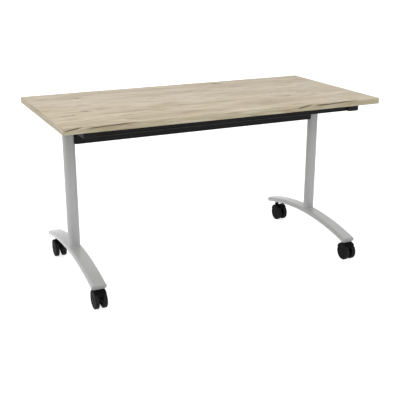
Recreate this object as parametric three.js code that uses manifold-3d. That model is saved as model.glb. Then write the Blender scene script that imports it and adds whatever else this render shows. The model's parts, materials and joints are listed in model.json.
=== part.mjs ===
// Flip-top training table: a tilting board on two T-shaped legs that stand on swivel casters.
// Millimetres. X runs along the table, -Y is the user's side, Z is up and the floor is z = 0.

import * as THREE from 'three';
import { mergeVertices } from 'three/addons/utils/BufferGeometryUtils.js';
import Module from 'manifold-3d';

const wasm = await Module();
wasm.setup();

// Tabletop
const tableHeight = 736;
const boardLength = 1400;
const boardDepth = 680;
const boardThickness = 25;
const edgeBandThickness = 2;

// Top frame: two cross arms, pressed as channels that open downwards, and two rails between them
const armWidth = 50;
const armHeight = 28;
const armWall = 2.5;
const armBend = 4;
const armSetback = 29;
const armCapPlate = 3;
const armCapPlug = 4;
const armCapCorner = 6;
const railSize = 20;
const railWall = 1.5;
const railCorner = 2;
const railSetback = 40;

// Tilt pivot
const pivotSetback = 15;
const pivotRise = 7;
const pinDiameter = 10;
const pinHeadDiameter = 16;
const pinHeadHeight = 3;
const bushWall = 3;
const headNeck = 25;
const headPlate = 6;
const headPlug = 25;
const headSideGap = 2.5;
const headEyeDrop = 10;

// Latch and its release bar
const releaseBarDiameter = 9;
const releaseBarSetback = 52;
const releaseTravel = 8;
const boltDiameter = 7;
const boltCollarDiameter = 12;
const boltCollarLength = 5;
const boltCollarSetback = 42;
const boltBlockLength = 13;
const boltBlockHeight = 13;
const boltBlockWidth = 12;
const boltSocketDepth = 14;
const bracketSetback = 21;
const bracketLength = 78;
const bracketWidth = 18;
const bracketSheet = 3;
const bracketSkirt = 6;
const springWire = 1;
const springPlay = 0.75;
const springTurns = 6;

// Columns and crossbeam
const legInset = 110.6;
const columnWidth = 51;
const columnDepth = 34;
const columnWall = 2;
const beamDepth = 40;
const beamHeight = 50;
const beamWall = 2;
const beamCorner = 4;
const beamDrop = 17;
const saddlePlate = 4;
const saddlePlug = 30;
const saddleHornDepth = 28;
const saddleHornReach = 7;

// Arched feet
const footLength = 676;
const footWidth = 64;
const footThickness = 23;
const footWall = 2;
const footArcRadius = 1350;
const footCapPlate = 4;
const footCapPlug = 16;
const stemInset = 40.8;

// Casters
const wheelDiameter = 75;
const wheelWidth = 18;
const wheelShoulder = 3.5;
const wheelHubRadius = 9;
const wheelDishRadius = 28;
const wheelDishDepth = 1.2;
const wheelInnerDish = 5;
const wheelSideGap = 0.5;
const casterTrail = 29;
const axleDiameter = 8;
const axleSink = 14;
const webThickness = 10;
const webHubRadius = 9;
const webHubTailAngle = 187;
const webHubStemAngle = 350;
const hoodWall = 3;
const hoodClearance = 1.2;
const hoodWidth = 50;
const hoodStemAngle = 20;
const hoodTailAngle = 127;
const bossRadius = 7;
const bossLength = 28;
const bossRimRadius = 10;
const bossRimHeight = 6.5;
const spindleDiameter = 8;
const spindleLength = 24;
const stemCollarDiameter = 17;
const stemCollarHeight = 9.2;
const studDiameter = 10;
const studLength = 14;
const pedalHingeAngle = 123;
const pedalWidth = 24;
const pedalLength = 17;
const pedalThickness = 2.4;
const pedalKnuckleRadius = 2.2;
const pedalNotchAngle = 117;
const pedalNotchOverrun = 3;
const pedalPressAngle = 12;
const pedalPinRadius = 0.8;
const pedalPinLength = 2.5;

// Clearances
const seatGap = 0.2;
const copeGap = 0.3;
const runningGap = 0.3;
const pinGap = 0.2;
const slideGap = 0.6;

// Divisions of round shapes
const wheelSteps = 24;
const roundSteps = 20;
const smallRoundSteps = 12;
const pinSteps = 8;
const arcSteps = 3;
const cornerSteps = 2;
const footSteps = 12;
const springSides = 5;
const springStepsPerTurn = 8;
const doublePointTolerance = 1e-6;

// Places that several pieces share
const legX = boardLength / 2 - legInset;
const underside = tableHeight - boardThickness;
const armTop = underside - seatGap;
const armBottom = armTop - armHeight;
const armHalfLength = boardDepth / 2 - armSetback;
const webUnderside = armTop - armWall;
const pivotY = columnDepth / 2 + pivotSetback;
const pivotZ = armBottom + pivotRise;
const headReach = webUnderside - runningGap - pivotZ;
const headRimRadius = pivotY + columnDepth / 2;
const headWidth = armWidth - 2 * armWall - 2 * headSideGap;
const bushRadius = pinDiameter / 2 + pinGap + bushWall;
const columnTop = armBottom - headNeck;
const boltY = -boardDepth / 2 + releaseBarSetback;
const boltZ = armTop - railSize - slideGap - releaseBarDiameter / 2;
const boltTipY = pivotY - headRimRadius - slideGap;
const collarFrontY = boltTipY - boltCollarSetback - boltCollarLength;
const bracketBackY = -columnDepth / 2 - bracketSetback;
const bracketFrontY = bracketBackY - bracketLength;
const columnInnerX = legX - columnWidth / 2;
const beamEndX = columnInnerX - saddlePlate;
const beamTop = columnTop - beamDrop;
const beamMiddle = beamTop - beamHeight / 2;
const stemY = footLength / 2 - stemInset;
const wheelRadius = wheelDiameter / 2;
const casterGap = 2 * (bossRadius + wheelSideGap);
const hoodInnerRadius = wheelRadius + hoodClearance;
const hoodRadius = hoodInnerRadius + hoodWall;
const hoodTop = wheelRadius + hoodRadius;
const footMiddleRadius = footArcRadius - footThickness / 2;
const footInnerRadius = footArcRadius - footThickness;
const footUnderside = hoodTop + runningGap + stemCollarHeight;
const footCentreZ = footUnderside - Math.sqrt(footInnerRadius ** 2 - stemY ** 2);
const footCrown = footCentreZ + footArcRadius;
const footEndAngle = Math.asin(footLength / 2 / footArcRadius);
const footHalfArc = footMiddleRadius * footEndAngle;
const pedalHingeRadius = (hoodInnerRadius + hoodRadius) / 2;

const unitX = new THREE.Vector3(1, 0, 0);
const unitY = new THREE.Vector3(0, 1, 0);
const unitZ = new THREE.Vector3(0, 0, 1);
const sides = { left: -1, right: 1 };
const ends = { front: -1, back: 1 };

// Finishes: colour, roughness and metalness
const finishes = {
  oakDecor: [0xc8baa6, 0.55, 0],
  oakEdge: [0xb4a98d, 0.55, 0],
  silverPaint: [0xb6b7b7, 0.4, 0.35],
  silverCap: [0xa2a3a3, 0.5, 0.1],
  blackPaint: [0x242426, 0.5, 0.1],
  blackPlastic: [0x1d1d1f, 0.6, 0],
  casterPlastic: [0x232325, 0.45, 0],
  tread: [0x2a2a2b, 0.7, 0],
  castHead: [0x2b2b2d, 0.5, 0.4],
  brightSteel: [0xa9abad, 0.3, 0.9],
  bushPlastic: [0x8f8f8a, 0.5, 0],
};

/** Turns a closed geometry into a solid that can be cut and joined. */
function solidOf(geometry) {
  const bare = geometry.clone();
  bare.deleteAttribute('normal');
  bare.deleteAttribute('uv');
  const merged = mergeVertices(bare);
  const corners = Array.from(merged.index.array);
  const triVerts = [];
  for (let i = 0; i < corners.length; i += 3) {
    const [a, b, c] = corners.slice(i, i + 3);
    if (a !== b && b !== c && c !== a) triVerts.push(a, b, c);
  }
  return new wasm.Manifold(
    new wasm.Mesh({
      numProp: 3,
      vertProperties: new Float32Array(merged.getAttribute('position').array),
      triVerts: new Uint32Array(triVerts),
    }),
  );
}

/** Turns a solid back into a geometry. */
function geometryOf(solid) {
  const mesh = solid.getMesh();
  const geometry = new THREE.BufferGeometry();
  geometry.setAttribute('position', new THREE.BufferAttribute(new Float32Array(mesh.vertProperties), 3));
  geometry.setIndex(new THREE.BufferAttribute(new Uint32Array(mesh.triVerts), 1));
  geometry.computeVertexNormals();
  return geometry;
}

/** Joins geometries into one. */
function join(first, ...others) {
  return geometryOf(others.reduce((solid, other) => solid.add(solidOf(other)), solidOf(first)));
}

/** Cuts the other geometries out of the first one. */
function cut(first, ...others) {
  return geometryOf(others.reduce((solid, other) => solid.subtract(solidOf(other)), solidOf(first)));
}

/** Keeps what two geometries have in common. */
function common(first, second) {
  return geometryOf(solidOf(first).intersect(solidOf(second)));
}

/** Divides a path's arcs into points and drops doubled points. */
function pointsOf(path, steps) {
  const points = path.getPoints(steps);
  const isDouble = (point, i) => point.distanceTo(points[(i + 1) % points.length]) < doublePointTolerance;
  return points.filter((point, i) => !isDouble(point, i));
}

/** Extrudes a shape by a depth along its own Z. */
function extrude(shape, depth, steps = arcSteps) {
  const divided = new THREE.Shape(pointsOf(shape, steps));
  divided.holes = shape.holes.map((hole) => new THREE.Path(pointsOf(hole, steps)));
  return new THREE.ExtrudeGeometry(divided, { depth, bevelEnabled: false });
}

/** Extrudes a shape drawn in Y and Z between two values of X. */
function extrudeX(shape, low, high, steps) {
  const turn = new THREE.Matrix4().makeBasis(unitY, unitZ, unitX);
  return extrude(shape, high - low, steps).applyMatrix4(turn).translate(low, 0, 0);
}

/** Extrudes a shape drawn in X and Z between two values of Y. */
function extrudeY(shape, low, high, steps) {
  const turn = new THREE.Matrix4().makeBasis(unitX, unitZ, unitY.clone().negate());
  return extrude(shape, high - low, steps).applyMatrix4(turn).translate(0, high, 0);
}

/** Extrudes a shape drawn in X and Y between two values of Z. */
function extrudeZ(shape, low, high, steps) {
  return extrude(shape, high - low, steps).translate(0, 0, low);
}

/** Box between two corners. */
function box(low, high) {
  const size = high.map((value, i) => value - low[i]);
  const middle = high.map((value, i) => (value + low[i]) / 2);
  return new THREE.BoxGeometry(...size).translate(...middle);
}

/** Cylinder along X, centred on a point in Y and Z. */
function rodX(radius, y, z, low, high, steps = smallRoundSteps) {
  const rod = new THREE.CylinderGeometry(radius, radius, high - low, steps);
  return rod.rotateZ(Math.PI / 2).translate((low + high) / 2, y, z);
}

/** Cylinder along Y, centred on a point in X and Z. */
function rodY(radius, x, z, low, high, steps = smallRoundSteps) {
  const rod = new THREE.CylinderGeometry(radius, radius, high - low, steps);
  return rod.translate(x, (low + high) / 2, z);
}

/** Cylinder along Z, centred on a point in X and Y. */
function rodZ(radius, x, y, low, high, steps = smallRoundSteps) {
  const rod = new THREE.CylinderGeometry(radius, radius, high - low, steps);
  return rod.rotateX(Math.PI / 2).translate(x, y, (low + high) / 2);
}

/** Rectangle with round corners, centred on a point. */
function roundedRectangle(width, height, corner, x = 0, y = 0, ShapeClass = THREE.Shape) {
  const outline = new ShapeClass();
  const dx = width / 2 - corner;
  const dy = height / 2 - corner;
  outline.absarc(x + dx, y + dy, corner, 0, Math.PI / 2);
  outline.absarc(x - dx, y + dy, corner, Math.PI / 2, Math.PI);
  outline.absarc(x - dx, y - dy, corner, Math.PI, 1.5 * Math.PI);
  outline.absarc(x + dx, y - dy, corner, 1.5 * Math.PI, 2 * Math.PI);
  return outline;
}

/** Flat oval with half-round ends on X. */
function flatOval(width, depth, ShapeClass = THREE.Shape) {
  const outline = new ShapeClass();
  const radius = depth / 2;
  const dx = width / 2 - radius;
  outline.absarc(dx, 0, radius, -Math.PI / 2, Math.PI / 2);
  outline.absarc(-dx, 0, radius, Math.PI / 2, 1.5 * Math.PI);
  return outline;
}

const table = new THREE.Group();

/** Adds one named piece to a group. */
function addPiece(group, name, geometry, finish) {
  const [color, roughness, metalness] = finishes[finish];
  const piece = new THREE.Mesh(geometry, new THREE.MeshStandardMaterial({ color, roughness, metalness }));
  piece.name = name;
  group.add(piece);
}

/** Adds an empty group at a place on the table. */
function addGroup(parent, x, y) {
  const group = new THREE.Group();
  group.position.set(x, y, 0);
  parent.add(group);
  return group;
}

// Tabletop: the board and a strip of edge banding on each side

function addTabletop() {
  const halfLength = boardLength / 2;
  const halfDepth = boardDepth / 2;
  const coreX = halfLength - edgeBandThickness - seatGap;
  const coreY = halfDepth - edgeBandThickness - seatGap;
  addPiece(table, 'top_board', box([-coreX, -coreY, underside], [coreX, coreY, tableHeight]), 'oakDecor');
  for (const [name, sign] of Object.entries(ends)) {
    const [low, high] = sign < 0 ? [-halfDepth, -coreY - seatGap] : [coreY + seatGap, halfDepth];
    const strip = box([-halfLength, low, underside], [halfLength, high, tableHeight]);
    addPiece(table, `edge_band_${name}`, strip, 'oakEdge');
  }
  for (const [name, sign] of Object.entries(sides)) {
    const [low, high] = sign < 0 ? [-halfLength, -coreX - seatGap] : [coreX + seatGap, halfLength];
    const strip = box([low, -coreY, underside], [high, coreY, tableHeight]);
    addPiece(table, `edge_band_${name}`, strip, 'oakEdge');
  }
}

// Top frame

/** Channel that opens downwards, with bores for the pivot pin and a notch for the release bar. */
function armGeometry(side) {
  const half = armWidth / 2;
  const outline = new THREE.Shape();
  outline.moveTo(-half, armBottom);
  outline.lineTo(-half + armWall, armBottom);
  outline.lineTo(-half + armWall, webUnderside);
  outline.lineTo(half - armWall, webUnderside);
  outline.lineTo(half - armWall, armBottom);
  outline.lineTo(half, armBottom);
  outline.absarc(half - armBend, armTop - armBend, armBend, 0, Math.PI / 2);
  outline.absarc(-half + armBend, armTop - armBend, armBend, Math.PI / 2, Math.PI);
  const length = armHalfLength - armCapPlate - seatGap;
  const channel = extrudeY(outline, -length, length);
  const bore = rodX(pinDiameter / 2 + runningGap, pivotY, pivotZ, -armWidth, armWidth);
  const reach = releaseBarDiameter / 2 + slideGap;
  const [low, high] = side < 0 ? [0, armWidth] : [-armWidth, 0];
  const notch = box(
    [low, boltY - releaseTravel - reach, armBottom - armWall],
    [high, boltY + reach, boltZ + reach],
  );
  return cut(channel, bore, notch);
}

/** Plastic cap on the end of an arm: a face plate and a plug in the channel. */
function armCapGeometry(end) {
  const half = armWidth / 2;
  const face = new THREE.Shape();
  face.absarc(half - armBend, armTop - armBend, armBend, 0, Math.PI / 2);
  face.absarc(-half + armBend, armTop - armBend, armBend, Math.PI / 2, Math.PI);
  face.absarc(-half + armCapCorner, armBottom + armCapCorner, armCapCorner, Math.PI, 1.5 * Math.PI);
  face.absarc(half - armCapCorner, armBottom + armCapCorner, armCapCorner, 1.5 * Math.PI, 2 * Math.PI);
  const plugHalf = half - armWall - seatGap;
  const inner = armHalfLength - armCapPlate;
  const plate = end < 0 ? [-armHalfLength, -inner] : [inner, armHalfLength];
  const plug = end < 0 ? [-inner - seatGap, -inner + armCapPlug] : [inner - armCapPlug, inner + seatGap];
  return join(
    extrudeY(face, ...plate),
    box([-plugHalf, plug[0], armBottom + armWall], [plugHalf, plug[1], webUnderside - seatGap]),
  );
}

/** Square tube between the two arms. */
function railGeometry(end) {
  const y = end * (boardDepth / 2 - railSetback - railSize / 2);
  const z = armTop - railSize / 2;
  const inner = railSize - 2 * railWall;
  const outline = roundedRectangle(railSize, railSize, railCorner, y, z);
  outline.holes.push(roundedRectangle(inner, inner, railCorner - railWall, y, z, THREE.Path));
  const reach = legX - armWidth / 2 - seatGap;
  return extrudeX(outline, -reach, reach, cornerSteps);
}

function addTopFrame() {
  for (const [sideName, side] of Object.entries(sides)) {
    const leg = addGroup(table, side * legX, 0);
    addPiece(leg, `arm_${sideName}`, armGeometry(side), 'blackPaint');
    for (const [endName, end] of Object.entries(ends)) {
      addPiece(leg, `arm_cap_${endName}_${sideName}`, armCapGeometry(end), 'blackPlastic');
    }
  }
  for (const [name, end] of Object.entries(ends)) {
    addPiece(table, `${name}_rail`, railGeometry(end), 'blackPaint');
  }
}

// Tilt pivot

/** Head on the column: a plug, a plate and a sector that carries the pivot and stops the arm at both ends. */
function headGeometry() {
  const plateLow = columnTop + seatGap;
  const plateHigh = plateLow + headPlate;
  const blockLow = plateLow + headPlate / 2;
  const lowAngle = Math.PI - Math.asin((blockLow - pivotZ) / headRimRadius);
  const highAngle = Math.PI - Math.asin(headReach / headRimRadius);
  const sector = new THREE.Shape();
  sector.moveTo(columnDepth / 2, blockLow);
  sector.lineTo(pivotY + headReach, pivotZ - headEyeDrop);
  sector.absarc(pivotY, pivotZ, headReach, 0, Math.PI / 2);
  sector.absarc(pivotY, pivotZ, headRimRadius, highAngle, lowAngle);
  const plugWall = columnWall + seatGap;
  const plug = flatOval(columnWidth - 2 * plugWall, columnDepth - 2 * plugWall);
  const whole = join(
    extrudeZ(flatOval(columnWidth, columnDepth), plateLow, plateHigh),
    extrudeZ(plug, plateLow - headPlug, blockLow),
    extrudeX(sector, -headWidth / 2, headWidth / 2),
  );
  const bore = rodX(bushRadius + seatGap, pivotY, pivotZ, -armWidth, armWidth, roundSteps);
  const socketRadius = boltDiameter / 2 + slideGap;
  const socket = rodY(socketRadius, 0, boltZ, boltTipY, boltTipY + slideGap + boltSocketDepth);
  return cut(whole, bore, socket);
}

/** Sleeve in the head that also keeps the arm's walls apart. */
function bushGeometry() {
  const half = armWidth / 2 - armWall - runningGap;
  return cut(
    rodX(bushRadius, pivotY, pivotZ, -half, half, roundSteps),
    rodX(pinDiameter / 2 + pinGap, pivotY, pivotZ, -armWidth, armWidth, roundSteps),
  );
}

/** Pin through the arm, with a head outside and a retaining collar inside. */
function pinGeometry(side) {
  const outer = armWidth / 2 + seatGap;
  const along = (from, to) => (side > 0 ? [from, to] : [-to, -from]);
  const slice = (radius, from, to) => rodX(radius, pivotY, pivotZ, ...along(from, to), roundSteps);
  return join(
    slice(pinDiameter / 2, -outer - pinHeadHeight, outer + pinHeadHeight / 2),
    slice(pinHeadDiameter / 2, outer, outer + pinHeadHeight),
    slice(pinHeadDiameter / 2, -outer - pinHeadHeight / 2, -outer),
  );
}

function addPivots() {
  for (const [name, side] of Object.entries(sides)) {
    const leg = addGroup(table, side * legX, 0);
    addPiece(leg, `pivot_head_${name}`, headGeometry(), 'castHead');
    addPiece(leg, `pivot_bush_${name}`, bushGeometry(), 'bushPlastic');
    addPiece(leg, `pivot_pin_${name}`, pinGeometry(side), 'brightSteel');
  }
}

// Latch

/** Bolt that slides towards the head: a rod with a collar for the spring and a block on the release bar. */
function boltGeometry() {
  const radius = boltDiameter / 2;
  const blockHalf = boltBlockLength / 2;
  const whole = join(
    rodY(radius, 0, boltZ, boltY, boltTipY),
    rodY(boltCollarDiameter / 2, 0, boltZ, collarFrontY, collarFrontY + boltCollarLength),
    box(
      [-boltBlockWidth / 2, boltY - blockHalf, boltZ - boltBlockHeight / 2],
      [boltBlockWidth / 2, boltY + blockHalf, boltZ + boltBlockHeight / 2],
    ),
  );
  return cut(whole, rodX(releaseBarDiameter / 2 + seatGap, boltY, boltZ, -armWidth, armWidth));
}

/** Bent strip under the arm's web with two ears that guide the bolt. */
function bracketGeometry() {
  const top = webUnderside - seatGap;
  const low = boltZ - bracketSkirt;
  const outline = new THREE.Shape();
  outline.moveTo(bracketFrontY, top);
  outline.lineTo(bracketFrontY, low);
  outline.lineTo(bracketFrontY + bracketSheet, low);
  outline.lineTo(bracketFrontY + bracketSheet, top - bracketSheet);
  outline.lineTo(bracketBackY - bracketSheet, top - bracketSheet);
  outline.lineTo(bracketBackY - bracketSheet, low);
  outline.lineTo(bracketBackY, low);
  outline.lineTo(bracketBackY, top);
  const strip = extrudeX(outline, -bracketWidth / 2, bracketWidth / 2);
  const holeRadius = boltDiameter / 2 + runningGap;
  return cut(strip, rodY(holeRadius, 0, boltZ, bracketFrontY - armWall, bracketBackY + armWall));
}

/** Centre line of a coil spring along Y. */
class SpringLine extends THREE.Curve {
  constructor(radius, start, length, turns) {
    super();
    Object.assign(this, { radius, start, length, turns });
  }

  getPoint(t, target = new THREE.Vector3()) {
    const angle = 2 * Math.PI * this.turns * t;
    const across = this.radius * Math.cos(angle);
    const height = this.radius * Math.sin(angle);
    return target.set(across, this.start + this.length * t, boltZ + height);
  }
}

/** Return spring between the bracket's front ear and the bolt's collar. */
function springGeometry() {
  const margin = springWire / 2 + runningGap;
  const radius = boltDiameter / 2 + springPlay + springWire / 2;
  const start = bracketFrontY + bracketSheet + margin;
  const length = collarFrontY - margin - start;
  const section = new THREE.Shape();
  section.absarc(0, 0, springWire / 2, 0, 2 * Math.PI);
  const divided = new THREE.Shape(section.getSpacedPoints(springSides).slice(0, springSides));
  return new THREE.ExtrudeGeometry(divided, {
    steps: springTurns * springStepsPerTurn,
    extrudePath: new SpringLine(radius, start, length, springTurns),
    bevelEnabled: false,
  });
}

function addLatch() {
  for (const [name, side] of Object.entries(sides)) {
    const leg = addGroup(table, side * legX, 0);
    addPiece(leg, `latch_bolt_${name}`, boltGeometry(), 'brightSteel');
    addPiece(leg, `latch_bracket_${name}`, bracketGeometry(), 'blackPaint');
    addPiece(leg, `latch_spring_${name}`, springGeometry(), 'brightSteel');
  }
  const reach = legX + boltBlockWidth / 2;
  addPiece(table, 'release_bar', rodX(releaseBarDiameter / 2, boltY, boltZ, -reach, reach), 'blackPaint');
}

// Feet

/** Circular arc through the middle of a foot, from front to back. */
class FootLine extends THREE.Curve {
  constructor(halfArc) {
    super();
    this.halfAngle = halfArc / footMiddleRadius;
  }

  getPoint(t, target = new THREE.Vector3()) {
    const angle = (2 * t - 1) * this.halfAngle;
    const y = footMiddleRadius * Math.sin(angle);
    return target.set(0, y, footCentreZ + footMiddleRadius * Math.cos(angle));
  }
}

/** Solid foot whose section is moved out by an offset, longer than the foot itself. */
function footBlank(offset) {
  const section = flatOval(footWidth + 2 * offset, footThickness + 2 * offset);
  return new THREE.ExtrudeGeometry(new THREE.Shape(pointsOf(section, arcSteps)), {
    steps: footSteps,
    extrudePath: new FootLine(footHalfArc + footThickness),
    bevelEnabled: false,
  });
}

/** Slice of a foot blank between two planes across its arc, given by their lengths along it from the crown. */
function footSlice(offset, low, high) {
  const inner = footInnerRadius - footThickness;
  const outer = footArcRadius / Math.cos(footEndAngle) + footThickness;
  const corners = [[inner, low], [outer, low], [outer, high], [inner, high]].map(([radius, length]) => {
    const angle = length / footMiddleRadius;
    return new THREE.Vector2(radius * Math.sin(angle), footCentreZ + radius * Math.cos(angle));
  });
  return common(footBlank(offset), extrudeX(new THREE.Shape(corners), -footWidth, footWidth));
}

/** Bent flat-oval tube, open at both ends, with a hole for each caster's stud. */
function footGeometry() {
  const half = footHalfArc - footCapPlate - seatGap;
  const holes = Object.values(ends).map((end) =>
    rodZ(studDiameter / 2 + runningGap, 0, end * stemY, 0, footUnderside + footThickness / 2),
  );
  return cut(footSlice(0, -half, half), footBlank(-footWall), ...holes);
}

/** Cap on the end of a foot: a face plate and a plug in the tube. */
function footCapGeometry(end) {
  const outer = footHalfArc;
  const inner = outer - footCapPlate;
  const between = (low, high) => (end < 0 ? [-high, -low] : [low, high]);
  return join(
    footSlice(0, ...between(inner, outer)),
    footSlice(-footWall - copeGap, ...between(inner - footCapPlug, inner + footCapPlate / 2)),
  );
}

// Columns and crossbeam

/** Flat-oval tube whose lower end is coped to the foot. */
function columnGeometry() {
  const outline = flatOval(columnWidth, columnDepth);
  outline.holes.push(flatOval(columnWidth - 2 * columnWall, columnDepth - 2 * columnWall, THREE.Path));
  const tube = extrudeZ(outline, footCrown - footThickness / 2, columnTop, 2 * arcSteps);
  return cut(tube, footBlank(copeGap));
}

/** Black tube between the columns. */
function beamGeometry() {
  const inner = [beamDepth - 2 * beamWall, beamHeight - 2 * beamWall];
  const outline = roundedRectangle(beamDepth, beamHeight, beamCorner, 0, beamMiddle);
  outline.holes.push(roundedRectangle(...inner, beamCorner - beamWall, 0, beamMiddle, THREE.Path));
  const reach = beamEndX - seatGap;
  return extrudeX(outline, -reach, reach);
}

/** Fitting on the beam's end: a plug, a plate and two horns that hold the column's round side. */
function saddleGeometry(side) {
  const along = (from, to) => (side > 0 ? [from, to] : [-to, -from]);
  const plugWall = beamWall + seatGap;
  const plugSize = [beamDepth - 2 * plugWall, beamHeight - 2 * plugWall];
  const plug = roundedRectangle(...plugSize, beamCorner - beamWall, 0, beamMiddle);
  const plate = roundedRectangle(beamDepth, beamHeight, beamCorner, 0, beamMiddle);
  const horns = roundedRectangle(saddleHornDepth, beamHeight, beamCorner, 0, beamMiddle);
  const plateEnd = beamEndX + saddlePlate - copeGap;
  const whole = join(
    extrudeX(plug, ...along(beamEndX - saddlePlug, beamEndX + saddlePlate / 2)),
    extrudeX(plate, ...along(beamEndX, plateEnd)),
    extrudeX(horns, ...along(beamEndX + saddlePlate / 2, plateEnd + saddleHornReach)),
  );
  const column = flatOval(columnWidth + 2 * copeGap, columnDepth + 2 * copeGap);
  const columnSpace = extrudeZ(column, beamTop - 2 * beamHeight, beamTop + beamHeight, 2 * arcSteps);
  return cut(whole, columnSpace.translate(side * legX, 0, 0));
}

function addLegs() {
  for (const [sideName, side] of Object.entries(sides)) {
    const leg = addGroup(table, side * legX, 0);
    addPiece(leg, `foot_${sideName}`, footGeometry(), 'silverPaint');
    addPiece(leg, `column_${sideName}`, columnGeometry(), 'silverPaint');
    for (const [endName, end] of Object.entries(ends)) {
      addPiece(leg, `foot_cap_${endName}_${sideName}`, footCapGeometry(end), 'silverCap');
    }
    addPiece(table, `beam_saddle_${sideName}`, saddleGeometry(side), 'blackPlastic');
  }
  addPiece(table, 'crossbeam', beamGeometry(), 'blackPaint');
}

// Casters, drawn around the swivel axis with the wheels trailing towards -Y

const axleY = -casterTrail;
const axleZ = wheelRadius;
const pedalHinge = polar(pedalHingeRadius, pedalHingeAngle);

/** Point at a radius and an angle in degrees about the axle, in Y and Z. */
function polar(radius, degrees) {
  const angle = THREE.MathUtils.degToRad(degrees);
  return new THREE.Vector2(axleY + radius * Math.cos(angle), axleZ + radius * Math.sin(angle));
}

/** Adds an arc about the axle to an outline, between two angles in degrees. */
function arcAboutAxle(outline, radius, from, to, clockwise = false) {
  const { degToRad } = THREE.MathUtils;
  outline.absarc(axleY, axleZ, radius, degToRad(from), degToRad(to), clockwise);
}

/** Part of a ring about the axle, in Y and Z. */
function ringSector(inner, outer, from, to) {
  const outline = new THREE.Shape();
  arcAboutAxle(outline, outer, from, to);
  arcAboutAxle(outline, inner, to, from, true);
  return outline;
}

/** Hood over the wheels, with the web between them, the swivel boss and, with a brake, the pedal's notch. */
function hoodGeometry(hasBrake) {
  const web = new THREE.Shape();
  arcAboutAxle(web, (hoodInnerRadius + hoodRadius) / 2, hoodStemAngle, hoodTailAngle);
  arcAboutAxle(web, webHubRadius, webHubTailAngle, webHubStemAngle);
  const cover = ringSector(hoodInnerRadius, hoodRadius, hoodStemAngle, hoodTailAngle);
  const whole = join(
    extrudeX(cover, -hoodWidth / 2, hoodWidth / 2),
    extrudeX(web, -webThickness / 2, webThickness / 2),
    rodZ(bossRadius, 0, 0, hoodTop - bossLength, hoodTop),
    rodZ(bossRimRadius, 0, 0, hoodTop - bossRimHeight, hoodTop),
  );
  const cuts = [
    rodX(axleDiameter / 2 + seatGap, axleY, axleZ, -hoodWidth, hoodWidth),
    rodZ(spindleDiameter / 2 + runningGap, 0, 0, hoodTop - spindleLength - runningGap, hoodTop + hoodWall),
  ];
  if (hasBrake) {
    const halfNotch = pedalWidth / 2 + runningGap;
    const pinReach = pedalWidth / 2 + pedalPinLength + runningGap;
    const notchEnd = hoodTailAngle + pedalNotchOverrun;
    const notch = ringSector(webHubRadius, hoodRadius + hoodWall, pedalNotchAngle, notchEnd);
    cuts.push(extrudeX(notch, -halfNotch, halfNotch));
    cuts.push(rodX(pedalPinRadius + runningGap, pedalHinge.x, pedalHinge.y, -pinReach, pinReach, pinSteps));
  }
  return cut(whole, ...cuts);
}

/** Wheel with a blind bore on its inner face and a shallow dish on both faces, turned about X. */
function wheelGeometry(side) {
  const boreRadius = axleDiameter / 2 + runningGap;
  const boreDepth = axleSink + runningGap;
  const rim = wheelRadius - wheelShoulder;
  const profile = [
    [0, boreDepth],
    [boreRadius, boreDepth],
    [boreRadius, 0],
    [wheelHubRadius, 0],
    [wheelHubRadius, wheelInnerDish],
    [wheelDishRadius, wheelInnerDish],
    [wheelDishRadius, 0],
    [rim, 0],
    [wheelRadius, wheelShoulder],
    [wheelRadius, wheelWidth - wheelShoulder],
    [rim, wheelWidth],
    [wheelDishRadius, wheelWidth],
    [wheelDishRadius - wheelDishDepth, wheelWidth - wheelDishDepth],
    [0, wheelWidth - wheelDishDepth],
  ].map(([radius, along]) => new THREE.Vector2(radius, along));
  const wheel = new THREE.LatheGeometry(profile, wheelSteps).rotateZ((-side * Math.PI) / 2);
  return wheel.translate((side * casterGap) / 2, axleY, axleZ);
}

/** Fixed stem: a spindle in the hood, a collar coped to the foot and a stud inside it. */
function stemGeometry(end) {
  const collarLow = hoodTop + runningGap;
  const collar = rodZ(stemCollarDiameter / 2, 0, 0, collarLow, footUnderside + footThickness / 2);
  const footSpace = footBlank(copeGap).translate(0, -end * stemY, 0);
  return join(
    cut(collar, footSpace),
    rodZ(spindleDiameter / 2, 0, 0, hoodTop - spindleLength, collarLow + stemCollarHeight / 2),
    rodZ(studDiameter / 2, 0, 0, collarLow + stemCollarHeight / 2, footUnderside + studLength),
  );
}

/** Brake pedal, pressed down: a knuckle with two pins and a flat blade turned in from the hood's tangent. */
function pedalGeometry() {
  const half = pedalWidth / 2;
  const pinReach = half + pedalPinLength;
  const bladeTurn = THREE.MathUtils.degToRad(pedalHingeAngle + 90 + pedalPressAngle);
  const blade = box([-half, 0, -pedalThickness / 2], [half, pedalLength, pedalThickness / 2]);
  return join(
    blade.rotateX(bladeTurn).translate(0, pedalHinge.x, pedalHinge.y),
    rodX(pedalKnuckleRadius, pedalHinge.x, pedalHinge.y, -half, half),
    rodX(pedalPinRadius, pedalHinge.x, pedalHinge.y, -pinReach, pinReach, pinSteps),
  );
}

function addCasters() {
  const axleReach = casterGap / 2 + axleSink;
  const axleGeometry = () => rodX(axleDiameter / 2, axleY, axleZ, -axleReach, axleReach);
  for (const [sideName, side] of Object.entries(sides)) {
    for (const [endName, end] of Object.entries(ends)) {
      const place = `${endName}_${sideName}`;
      const hasBrake = end < 0;
      const caster = addGroup(table, side * legX, end * stemY);
      addPiece(caster, `caster_stem_${place}`, stemGeometry(end), 'brightSteel');
      addPiece(caster, `caster_hood_${place}`, hoodGeometry(hasBrake), 'casterPlastic');
      addPiece(caster, `caster_axle_${place}`, axleGeometry(), 'brightSteel');
      for (const [wheelName, wheelSide] of Object.entries(sides)) {
        addPiece(caster, `wheel_${wheelName}_of_${place}`, wheelGeometry(wheelSide), 'tread');
      }
      if (hasBrake) addPiece(caster, `brake_pedal_${place}`, pedalGeometry(), 'casterPlastic');
    }
  }
}

addTabletop();
addTopFrame();
addPivots();
addLatch();
addLegs();
addCasters();

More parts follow.
